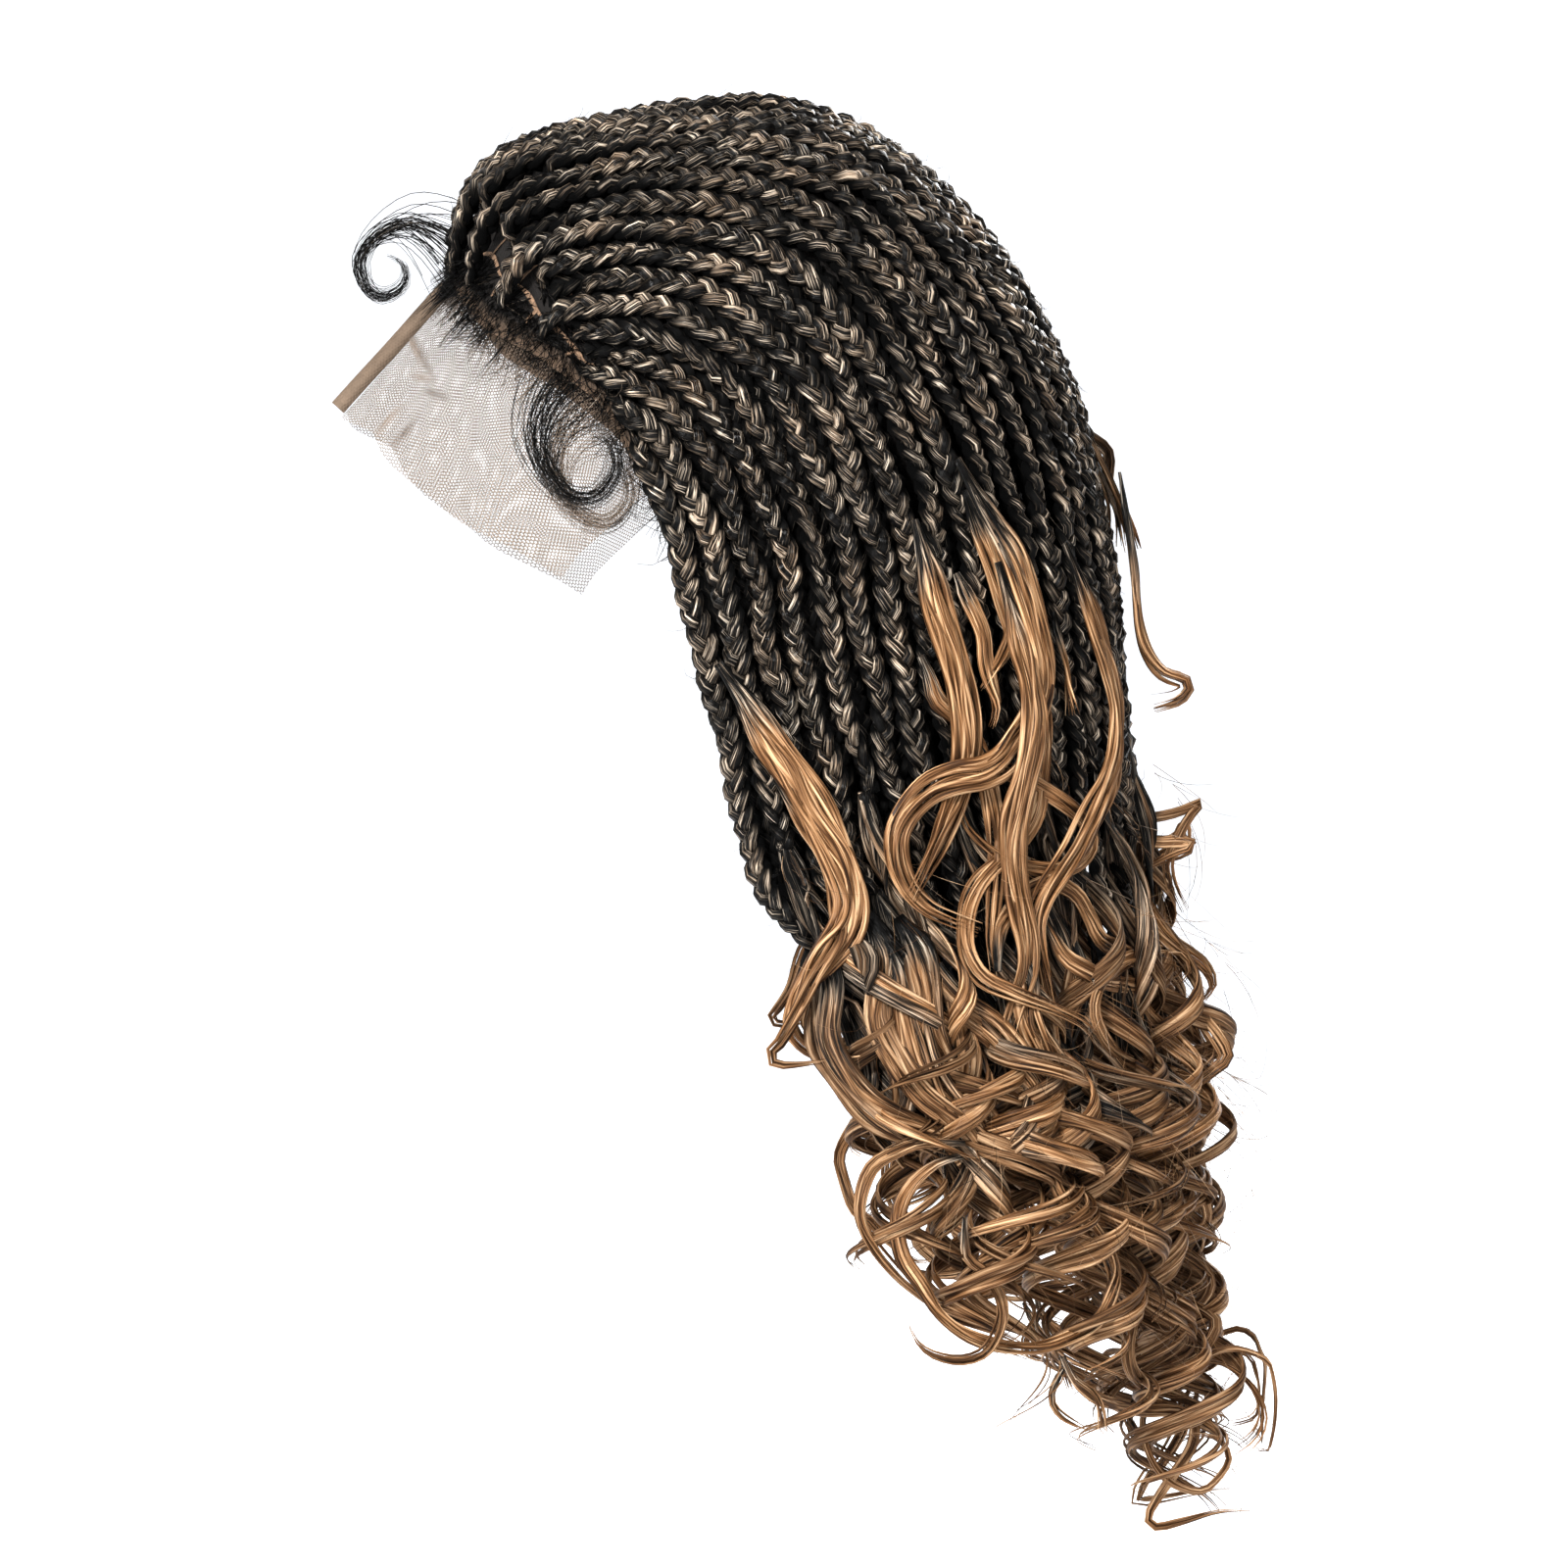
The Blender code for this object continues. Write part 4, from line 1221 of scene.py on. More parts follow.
@dataclass
class Wig:
    """What the hair pieces share: the form, the spaced strands and the finish."""

    fan: BraidFan
    curtain: Curtain
    hair: bpy.types.Material
    rng: np.random.Generator
    lines: list = field(default_factory=list)
    plait_counts: list = field(default_factory=list)
    grid: Array = None

    def lay(self) -> None:
        """Works out the centre lines of the braids and of the loose locks."""
        self.grid = self.fan.grid()
        braids = [self.fan.line(number) for number in range(self.fan.count)]
        lines = [line for line, _ in braids]
        self.plait_counts = [count for _, count in braids]
        lines += [self.fan.loose_line(shares, self.grid) for shares in self.fan.loose]
        lines.append(self.fan.back_line(self.grid))
        counts = self.plait_counts + [0] * (len(lines) - len(braids))
        radii = [self.fan.radii(len(line), count) for line, count in zip(lines, counts)]
        self.lines = Spacing(self.fan, self.curtain).settle(lines, radii)


@dataclass
class Plait:
    """Three strands over and under each other, drawn along a line."""

    half_swing: float = 0.0026
    lift: float = 0.0016
    wide: float = 0.0022
    thick: float = 0.0019
    period: float = 0.0208
    rings: int = 11
    sides: int = 6
    # Darkest painted shade, where a strand dives under the other two
    dive_shade: float = 0.0

    def strands(
        self, line: Array, up: Array, rng: np.random.Generator, size: Array, twist: float
    ) -> tuple[Array, ...]:
        """The strands along a line.

        Args:
            line: centre line, evenly spaced.
            up: outward direction at each of its points.
            rng: where the draws come from.
            size: thickness at each point, as a share.
            twist: how far the plait turns about its line, in radians.

        Returns:
            Centres, thickness directions, half widths, half thicknesses and painted shades of the three
            strands.
        """
        lengths = lengths_along(line)
        ahead = unit(np.gradient(line, axis=0))
        up = unit(up - (up * ahead).sum(axis=1, keepdims=True) * ahead)
        aside = np.cross(ahead, up)
        turn = twist * Wander(rng).at(lengths, 0.17)[:, None]
        up, aside = up * np.cos(turn) + aside * np.sin(turn), aside * np.cos(turn) - up * np.sin(turn)
        period = self.period * rng.uniform(0.93, 1.07)
        loose = 1.0 + 0.05 * Wander(rng).at(lengths, 0.035)
        phase = 2 * math.pi * lengths / period + rng.uniform(0, 2 * math.pi)
        phase = phase + 0.3 * Wander(rng).at(lengths, 0.06)
        centres, ups, wides, thicks, shades = [], [], [], [], []
        for i in range(3):
            turn = phase + 2 * math.pi * i / 3
            across = self.half_swing * np.sin(turn) * size * loose
            above = -self.lift * np.sin(2 * turn) * size
            centres.append(line + aside * across[:, None] + up * above[:, None])
            ups.append(up + aside * (0.35 * np.sin(turn))[:, None])
            swell = 1.0 + 0.10 * np.cos(2 * turn + 0.6) + 0.09 * Wander(rng).at(lengths, 0.014)
            wides.append(self.wide * size * swell)
            thicks.append(self.thick * size * swell)
            # Painted shade where a strand dives under the others, and a faint painted highlight on top of its
            # lobes
            shades.append(self.dive_shade + (1.1 - self.dive_shade) * smoothstep(-0.35, 0.8, -np.sin(2 * turn)))
        return np.array(centres), np.array(ups), np.array(wides), np.array(thicks), np.array(shades)


class Zone(Enum):
    """A third of the fan on one side, by the numbers of its braids."""

    FRONT = range(0, 6)
    CROWN = range(6, 12)
    BACK = range(12, 18)

    def solids(self, side: Side) -> list[str]:
        """The solids of the zone's braids on a side."""
        return [f"braid_{side.word}_{number + 1:02d}" for number in self.value]


@dataclass
class OuterPlaits:
    """The plaits of one zone on one side."""

    wig: Wig
    side: Side
    zone: Zone
    plait: Plait = field(default_factory=Plait)
    taper: float = 0.016
    twist: float = 0.9

    def build(self) -> bpy.types.Object:
        """Makes the zone's plaits.

        Returns:
            The object.
        """
        rng = self.wig.rng
        mesh = StrandMesh(f"plaits_{self.zone.name.lower()}_{self.side.word}", rng)
        for number in self.zone.value:
            count = self.wig.plait_counts[number]
            line = smooth_line(self.wig.lines[number][: count + 1], self.plait.period / self.plait.rings)
            lengths = lengths_along(line)
            up = self.wig.fan.head.outward(line)
            free = smoothstep(0.01, 0.05, lengths)[:, None]
            aside = unit(np.cross(unit(np.gradient(line, axis=0)), up))
            line = line + up * free * 0.0008 * Wander(rng).at(lengths, 0.07)[:, None]
            line = line + aside * free * 0.0016 * Wander(rng).at(lengths, 0.06)[:, None]
            size = (0.55 + 0.45 * smoothstep(0.0, self.taper, lengths)) * rng.uniform(0.92, 1.10)
            size *= 1.0 - 0.28 * smoothstep(lengths[-1] - 2.2 * self.taper, lengths[-1], lengths)
            line, up = mirrored(line, self.side), mirrored(up, self.side)
            centres, ups, wides, thicks, shades = self.plait.strands(line, up, rng, size, self.twist)
            tone = 0.42 + 0.06 * Wander(rng).at(lengths, 0.05)
            shades *= rng.uniform(0.85, 1.15, (3, 1))
            # Painted shade: the strand shades darken the lobe ends, and under darkens the inner faces
            mesh.add(centres, ups, wides, thicks, self.plait.sides, np.array([tone] * 3), shades, under=0.85)
        return mesh.build(self.wig.hair, "black_hair", self.zone.solids(self.side))


@dataclass
class Lock:
    """A flat lock of several strands that lie side by side."""

    strands: int = 5
    sides: int = 5
    half_width: float = 0.0030
    half_thick: float = 0.0011
    step: float = 0.003

    def add_to(
        self, mesh: StrandMesh, line: Array, up: Array, rng: np.random.Generator, tone: Array, narrow: Array,
        shade: float = 1.0,
    ) -> None:
        """Adds the lock to a mesh.

        Args:
            mesh: where it goes.
            line: its centre line.
            up: direction of its thickness at each point.
            rng: where the draws come from.
            tone: its tone at each point.
            narrow: its width at each point, as a share.
            shade: its brightness.
        """
        lengths = lengths_along(line)
        share = lengths / lengths[-1]
        ahead = unit(np.gradient(line, axis=0))
        up = unit(up - (up * ahead).sum(axis=1, keepdims=True) * ahead)
        aside = np.cross(ahead, up)
        places = np.linspace(-1.0, 1.0, self.strands)
        spread = self.half_width * (1.0 - 0.5 / self.strands)
        each = 2.1 * self.half_width / self.strands
        centres, ups, wides, thicks, tones = [], [], [], [], []
        for place in places:
            stray = 0.22 * Wander(rng).at(lengths, 0.05) + 0.5 * rng.normal() * share**3
            across = spread * narrow * (place + stray)
            bow = -0.45 * self.half_thick * place**2 + 0.16 * self.half_thick * Wander(rng).at(lengths, 0.045)
            loose = 0.0022 * share**2.5 * rng.normal()
            centres.append(kept_in(line + aside * across[:, None] + up * (bow * narrow + loose)[:, None]))
            ups.append(up + aside * 0.25 * place)
            end = 1.0 - smoothstep(rng.uniform(0.72, 0.92), 1.0, share) * rng.uniform(0.75, 0.95)
            wides.append(each * rng.uniform(0.85, 1.2) * np.sqrt(narrow) * end)
            thicks.append(0.72 * self.half_thick * rng.uniform(0.8, 1.1) * np.sqrt(narrow) * end)
            tones.append(tone + 0.07 * rng.normal())
        shades = shade * rng.uniform(0.8, 1.1, self.strands)
        forms = (np.array(part) for part in (centres, ups, wides, thicks))
        mesh.add(*forms, self.sides, np.array(tones), shades)


@dataclass
class Curls:
    """The curls that the plaits of one zone open into."""

    wig: Wig
    side: Side
    zone: Zone
    locks: int = 3
    lock: Lock = field(default_factory=lambda: Lock(strands=4, half_width=0.0025, step=0.0035))
    sample: float = 0.0015
    beside: float = 0.018
    lock_turn: float = 2.1
    sway: float = 0.005
    sway_run: float = 0.12

    def curl_line(self, number: int, which: int) -> tuple[Array, Array]:
        """One lock's centre line and its outward directions on the left.

        Args:
            number: the braid.
            which: the lock of that braid, 0 for the one that follows the solid.

        Returns:
            The points and the directions away from the curl's own axis.
        """
        fan, rng = self.wig.fan, self.wig.rng
        opens, ends = fan.opens(number), fan.ends(number)
        place = np.clip(fan.share(number) + (which - 1) * self.beside + 0.010 * rng.normal(), 0.0, 1.0)
        at = np.linspace(opens - 0.15, ends + rng.uniform(-0.7, 0.12) * (which > 0), 160)
        base = resample(fan.points(float(place), at), self.sample)
        end = self.wig.lines[number][self.wig.plait_counts[number]]
        base = base + (end - base[0]) * np.exp(-lengths_along(base) / 0.03)[:, None]
        lengths = lengths_along(base)
        share = lengths / lengths[-1]
        out = fan.level_outward(base)
        aside = np.cross(np.array([0.0, 0.0, 1.0]), out)
        grow = smoothstep(0.0, 0.04, lengths) * (0.30 + 0.95 * smoothstep(0.25, 0.8, share))
        swing = fan.swing * rng.uniform(0.75, 1.45) * grow
        pitch = fan.pitch * rng.uniform(0.78, 1.30) * (1.75 - 1.05 * smoothstep(0.15, 0.75, share))
        first = number * fan.next_turn + which * self.lock_turn + rng.uniform(0, 1.0 + 2.2 * (which > 0))
        turn = np.cumsum(2 * math.pi * self.sample / pitch) + first
        hand = 1.0 if which != 1 else -1.0
        stand = fan.layers[number % len(fan.layers)] * smoothstep(0.0, 0.06, lengths) * rng.uniform(0.1, 0.7)
        radial = out * -np.cos(turn)[:, None] + aside * (hand * np.sin(turn))[:, None]
        line = base + out * (stand + 0.2 * swing)[:, None] + radial * swing[:, None]
        drift = aside * Wander(rng).at(lengths, self.sway_run)[:, None]
        drift = drift + out * Wander(rng).at(lengths, self.sway_run)[:, None]
        line = line + drift * (self.sway * smoothstep(0.0, 0.05, lengths))[:, None]
        soft = smoothstep(0.0, 0.3, share)[:, None]
        return line, unit(radial * soft + out * (1.0 - soft))

    def build(self) -> bpy.types.Object:
        """Makes the zone's curls.

        Returns:
            The object.
        """
        rng = self.wig.rng
        mesh = StrandMesh(f"curls_{self.zone.name.lower()}_{self.side.word}", rng)
        for number in self.zone.value:
            for which in range(self.locks):
                line, up = self.curl_line(number, which)
                lengths = lengths_along(line)
                at = np.linspace(0.0, lengths[-1], max(12, int(lengths[-1] / self.lock.step)))
                line = np.stack([np.interp(at, lengths, line[:, axis]) for axis in range(3)], axis=1)
                up = np.stack([np.interp(at, lengths, up[:, axis]) for axis in range(3)], axis=1)
                share = at / at[-1]
                golden = smoothstep(0.04, rng.uniform(0.08, 0.14), at)
                tone = 0.34 + 0.20 * smoothstep(0.0, 0.03, at) + 0.34 * golden
                narrow = 0.75 + 0.45 * smoothstep(0.0, 0.2, share) - 0.85 * smoothstep(0.5, 1.0, share)
                # Random brightness, darker on the whole than the tresses over them: painted shade among the
                # curls
                shade = rng.uniform(0.5, 1.1)
                line, up = mirrored(line, self.side), mirrored(up, self.side)
                self.lock.add_to(mesh, line, up, rng, tone, narrow, shade)
        return mesh.build(self.wig.hair, "honey_hair", self.zone.solids(self.side))


@dataclass(frozen=True)
class Tress:
    """A lock that lies free over the others, by its path in the side view."""

    half_width: float
    ash: float
    # Millimetres behind the crown's axis and below the crown, as seen square from the side
    path: tuple


TRESSES = (
    Tress(3.0, 0.4, ((80, 121), (88, 141), (93, 156), (96, 168), (94, 175), (90, 182), (86, 188))),
    Tress(2.6, 0.1, ((65, 177), (68, 184), (71, 192), (79, 199), (84, 208), (88, 220), (90, 232), (91, 246),
        (90, 261), (89, 273), (90, 284))),
    Tress(2.4, 0.3, ((77, 149), (82, 159), (86, 169), (87, 178), (89, 186), (91, 194), (89, 201))),
    Tress(2.4, 0.1, ((102, 178), (105, 187), (107, 199), (107, 209), (106, 219), (104, 230), (99, 239),
        (92, 246), (85, 253), (81, 261), (80, 271), (82, 279), (87, 286), (97, 291), (110, 296), (121, 302),
        (125, 309))),
    Tress(1.4, 0.2, ((110, 162), (111, 168), (114, 179), (115, 188), (116, 197))),
    Tress(2.0, 0.9, ((112, 84), (118, 97), (124, 109), (128, 118), (131, 128), (132, 140))),
    Tress(2.2, 0.1, ((16, 218), (24, 230), (31, 241), (35, 252), (37, 262), (38, 270), (35, 277), (29, 286),
        (23, 298), (18, 307), (15, 311), (17, 314), (25, 314), (33, 313))),
    Tress(2.2, 0.0, ((84, 206), (91, 214), (102, 219), (113, 226), (121, 234), (123, 241), (119, 247),
        (111, 249), (102, 248), (95, 246), (88, 242), (81, 235), (78, 228))),
    Tress(2.2, 0.0, ((91, 283), (91, 275), (92, 268), (96, 262), (101, 256), (109, 253), (117, 257),
        (122, 265), (127, 273), (138, 278), (148, 280), (153, 282))),
    Tress(2.6, 0.0, ((105, 263), (109, 270), (114, 278), (120, 282), (128, 286), (139, 288), (149, 292),
        (159, 298), (165, 305), (168, 312), (164, 316), (157, 321), (149, 326), (143, 331))),
    Tress(2.4, 0.0, ((123, 287), (129, 284), (136, 279), (145, 276), (152, 277), (155, 282), (153, 286),
        (147, 288))),
    Tress(1.7, 0.0, ((130, 283), (125, 290), (124, 298), (128, 307), (135, 313), (147, 316), (158, 315),
        (163, 310), (161, 302))),
    Tress(1.3, 0.0, ((135, 232), (145, 231), (153, 229), (160, 226), (156, 231), (152, 238), (149, 246),
        (150, 254), (154, 263))),
    Tress(1.9, 0.0, ((135, 236), (143, 239), (151, 239), (156, 239), (155, 242), (148, 245), (140, 249))),
    Tress(2.8, 0.2, ((133, 214), (137, 224), (137, 237), (138, 248), (139, 257), (144, 268), (151, 275),
        (160, 281), (164, 288), (160, 293))),
    Tress(4.4, 0.7, ((57, 265), (64, 276), (67, 290), (69, 305), (76, 319), (85, 332), (92, 343))),
    Tress(4.6, 0.7, ((47, 264), (53, 276), (53, 288), (52, 300), (57, 312), (66, 324), (80, 336),
        (89, 346))),
    Tress(4.6, 0.7, ((32, 273), (33, 287), (32, 303), (37, 316), (46, 327), (60, 335), (77, 341))),
    Tress(4.0, 0.6, ((70, 281), (77, 292), (90, 302), (100, 314), (107, 324), (111, 341), (109, 352))),
    Tress(4.4, 0.8, ((52, 270), (59, 283), (61, 296), (65, 313), (73, 326), (82, 336))),
    Tress(4.0, 0.6, ((95, 273), (100, 286), (102, 300), (108, 313), (118, 326), (124, 339))),
    Tress(1.7, 0.0, ((80, 341), (74, 341), (65, 341), (57, 344), (49, 349), (45, 359), (45, 368), (50, 377),
        (57, 385), (64, 391), (71, 396), (82, 400))),
    Tress(2.1, 0.0, ((80, 345), (70, 348), (61, 356), (57, 367), (59, 379), (65, 388), (71, 398), (80, 405),
        (92, 409), (104, 410), (114, 407), (123, 402), (128, 394), (130, 385), (127, 376), (121, 368),
        (114, 365), (105, 366))),
    Tress(1.5, 0.0, ((80, 366), (80, 373), (81, 380), (87, 385), (91, 391), (93, 398), (91, 406), (86, 412),
        (78, 414), (69, 412), (64, 408), (61, 402))),
    Tress(1.9, 0.0, ((131, 321), (140, 327), (146, 334), (148, 344), (147, 354), (142, 362), (133, 368),
        (123, 368), (115, 362), (110, 354), (109, 346), (113, 339), (120, 334), (128, 332), (135, 333))),
    Tress(1.8, 0.0, ((147, 350), (153, 352), (158, 356), (162, 363), (161, 369), (155, 372), (148, 375),
        (140, 379), (134, 385))),
    Tress(2.2, 0.0, ((140, 373), (149, 376), (158, 381), (163, 387), (161, 394), (155, 399), (148, 407),
        (143, 413))),
    Tress(2.2, 0.0, ((138, 387), (146, 391), (156, 394), (164, 400), (163, 406), (158, 412), (149, 416),
        (140, 418))),
    Tress(1.9, 0.0, ((145, 376), (141, 385), (137, 400), (135, 410), (137, 419), (143, 424), (153, 426),
        (159, 425))),
    Tress(1.9, 0.0, ((113, 413), (118, 422), (128, 428), (140, 431), (151, 431), (157, 434), (157, 442),
        (151, 452), (145, 461), (142, 467), (145, 470), (154, 468), (165, 465), (176, 464))),
    Tress(1.0, 0.0, ((143, 425), (140, 434), (141, 443), (145, 451), (151, 456), (160, 458), (166, 453),
        (169, 447), (166, 441), (160, 439), (151, 439))),
    Tress(1.0, 0.0, ((141, 420), (151, 417), (160, 413), (168, 410), (176, 411), (183, 415), (188, 424),
        (188, 433), (185, 441), (181, 445), (177, 442))),
    Tress(0.6, 0.0, ((151, 418), (159, 415), (166, 415), (173, 419), (178, 425), (180, 433), (177, 440),
        (170, 445))),
    Tress(1.1, 0.0, ((113, 417), (110, 423), (109, 428), (112, 433), (119, 437))),
    Tress(1.0, 0.0, ((112, 413), (117, 420), (123, 425), (126, 431), (127, 439))),
)


@dataclass
class FreeTresses:
    """The locks that lie free over the plaits and curls of one side."""

    wig: Wig
    side: Side
    lock: Lock = field(default_factory=lambda: Lock(strands=6, sides=5, step=0.0032))
    stray: float = 0.003

    def line(self, tress: Tress) -> Array:
        """Centre line of a tress on the left.

        Args:
            tress: the lock and its path.

        Returns:
            The line's points.
        """
        rng, fan = self.wig.rng, self.wig.fan
        rows = np.array(tress.path, float) / 1000.0
        if self.side is Side.RIGHT:
            rows = rows + self.stray * rng.normal(size=(1, 2))
            rows = rows + 0.5 * self.stray * rng.normal(size=rows.shape)
        line = fan.over_layer([tuple(row) for row in rows], self.wig.grid, fan.radius)
        drops = rows[:, 1]
        lift = 0.002 + 0.012 * smoothstep(0.24, 0.31, drops) - 0.006 * (tress.ash > 0.5)
        swell = 0.004 * np.sin(drops * 90.0 + rng.uniform(0.0, 6.0))
        line[:, 0] += lift + swell * smoothstep(0.26, 0.34, drops)
        return smooth_line(as_seen(line), self.lock.step)

    def build(self) -> bpy.types.Object:
        """Makes the tresses.

        Returns:
            The object.
        """
        rng, fan = self.wig.rng, self.wig.fan
        mesh = StrandMesh(f"tresses_{self.side.word}", rng)
        for tress in TRESSES:
            line = self.line(tress)
            at = lengths_along(line)
            share = at / at[-1]
            tone = 0.95 - (0.42 - 0.20 * share) * tress.ash * (1.0 if tress.ash > 0.5 else 1.0 - share)
            tone = tone - 0.50 * (1.0 - smoothstep(0.0, 0.024, at))
            taper = 0.72 * smoothstep(0.6, 1.0, share) * (tress.ash < 0.5)
            narrow = 0.4 + 0.6 * smoothstep(0.0, 0.15, share) - taper
            flat = fan.head.outward(line) + unit(np.array([1.0, 0.0, 0.0]) + 0.3 * rng.normal(size=3))
            lock = Lock(
                self.lock.strands, self.lock.sides, tress.half_width / 1000.0,
                0.0006 + 0.0002 * tress.half_width, self.lock.step,
            )
            shade = rng.uniform(0.75, 1.1)
            line, flat = mirrored(line, self.side), mirrored(flat, self.side)
            lock.add_to(mesh, line, flat, rng, tone, narrow, shade)
        return mesh.build(self.wig.hair, "honey_hair", [])


@dataclass
class LooseLocks:
    """The golden locks that leave their braids early and lie over the near side."""

    wig: Wig
    lock: Lock = field(default_factory=lambda: Lock(strands=8, sides=6, half_width=0.0046, half_thick=0.0014))

    def build(self) -> bpy.types.Object:
        """Makes the loose locks.

        Returns:
            The object.
        """
        rng, fan = self.wig.rng, self.wig.fan
        mesh = StrandMesh("loose_locks", rng)
        loose = self.wig.lines[fan.count:]
        for line in loose:
            line = smooth_line(line, 0.0025)
            at = lengths_along(line)
            share = at / at[-1]
            tone = 0.36 + 0.60 * smoothstep(0.0, rng.uniform(0.03, 0.09), at)
            narrow = 0.24 + 0.86 * smoothstep(0.0, 0.2, share) - 0.70 * smoothstep(0.55, 1.0, share)
            self.lock.add_to(mesh, line, fan.head.outward(line), rng, tone, narrow)
        names = [f"loose_lock_{i + 1}" for i in range(len(loose))]
        return mesh.build(self.wig.hair, "honey_hair", names)


@dataclass
class InnerPlaits:
    """The plaits of the curtain, and those that show between the outer ones."""

    wig: Wig
    count: int = 23
    sunk: float = 0.0056
    inset: float = 0.0034
    tone: float = 0.30
    # Painted shade: these plaits are darkened, as they lie in the outer ones' shade
    shade: float = 0.5
    from_hoop: float = 1.1
    to_hoop: float = 10.0
    plait: Plait = field(default_factory=lambda: Plait(rings=6, sides=4, dive_shade=0.05))

    def curtain_line(self, place: float) -> Array:
        """The line of a plait of the curtain, from -1 at its right front edge to 1 at its left one.

        Args:
            place: the place round the neck.

        Returns:
            The line's points.
        """
        curtain, line = self.wig.curtain, []
        for at in np.linspace(0.0, len(curtain.rows) - 1.0, 24):
            drop, _, _, _, _, edge = curtain.row(float(at))
            reach = curtain.reach(edge * place, float(at)) - self.inset
            line.append((reach * math.sin(edge * place), reach * math.cos(edge * place), -drop))
        return np.array(line)

    def between_line(self, number: int) -> Array:
        """The line of a left plait that lies between two outer ones and under them.

        Args:
            number: the outer braid after it.

        Returns:
            The line's points.
        """
        fan = self.wig.fan
        line = fan.points(number / fan.count, np.linspace(self.from_hoop, self.to_hoop, 60))
        line = line - fan.head.outward(line) * self.sunk
        return fan.head.off(line, fan.head.wall + self.plait.thick)

    def build(self) -> bpy.types.Object:
        """Makes the inner plaits.

        Returns:
            The object.
        """
        rng, fan = self.wig.rng, self.wig.fan
        mesh = StrandMesh("inner_plaits", rng)
        lines = [self.curtain_line(2.0 * (i + 0.5) / self.count - 1.0) for i in range(self.count)]
        lines += [mirrored(self.between_line(i), side) for side in Side for i in range(1, fan.count)]
        for line in lines:
            line = smooth_line(line, self.plait.period / self.plait.rings)
            size = np.full(len(line), 0.98)
            up = fan.head.outward(line)
            centres, ups, wides, thicks, shades = self.plait.strands(line, up, rng, size, 0.5)
            tone = np.full((3, len(line)), self.tone)
            # Painted shade: darkened by self.shade, and on the inner faces by under
            mesh.add(centres, ups, wides, thicks, self.plait.sides, tone, shades * self.shade, under=0.7)
        return mesh.build(self.wig.hair, "black_hair", ["inner_braid_fall"])


# Thin hairs

def wisps(starts: Array, ways: Array, axes: Array, lengths: Array, turns: Array, rings: int) -> Array:
    """Thin hairs that bend evenly.

    Args:
        starts: where each one starts.
        ways: its direction there.
        axes: what it bends round.
        lengths: its length.
        turns: how far it bends, in radians.
        rings: points of each hair.

    Returns:
        The points of each hair.
    """
    ways = unit(ways)
    axes = unit(axes - (axes * ways).sum(axis=1, keepdims=True) * ways)
    turn = turns[:, None, None] * np.linspace(0.0, 1.0, rings)[None, :, None]
    headings = ways[:, None] * np.cos(turn) + np.cross(axes, ways)[:, None] * np.sin(turn)
    steps = headings[:, 1:] * (lengths / (rings - 1))[:, None, None]
    return starts[:, None] + np.concatenate([np.zeros((len(starts), 1, 3)), np.cumsum(steps, axis=1)], axis=1)


def add_hairs(mesh: StrandMesh, hairs: Array, radius: float, tone: float, rng: np.random.Generator) -> None:
    """Adds thin three-sided hairs that taper to their tips.

    Args:
        mesh: where they go.
        hairs: the points of each hair.
        radius: their radius at the root.
        tone: their tone.
        rng: where the draws come from.
    """
    hairs = kept_in(hairs)
    count, rings, _ = hairs.shape
    wide = radius * rng.uniform(0.7, 1.2, (count, 1)) * np.linspace(1.0, 0.35, rings)[None, :]
    ahead = unit(np.gradient(hairs, axis=1))
    up = np.cross(ahead, unit(rng.normal(size=(count, 1, 3))))
    tones = np.clip(tone + 0.1 * rng.normal(size=(count, 1)), 0.0, 1.0) * np.ones((1, rings))
    mesh.add(hairs, up, wide, wide, 3, tones, rng.uniform(0.6, 1.1, count))


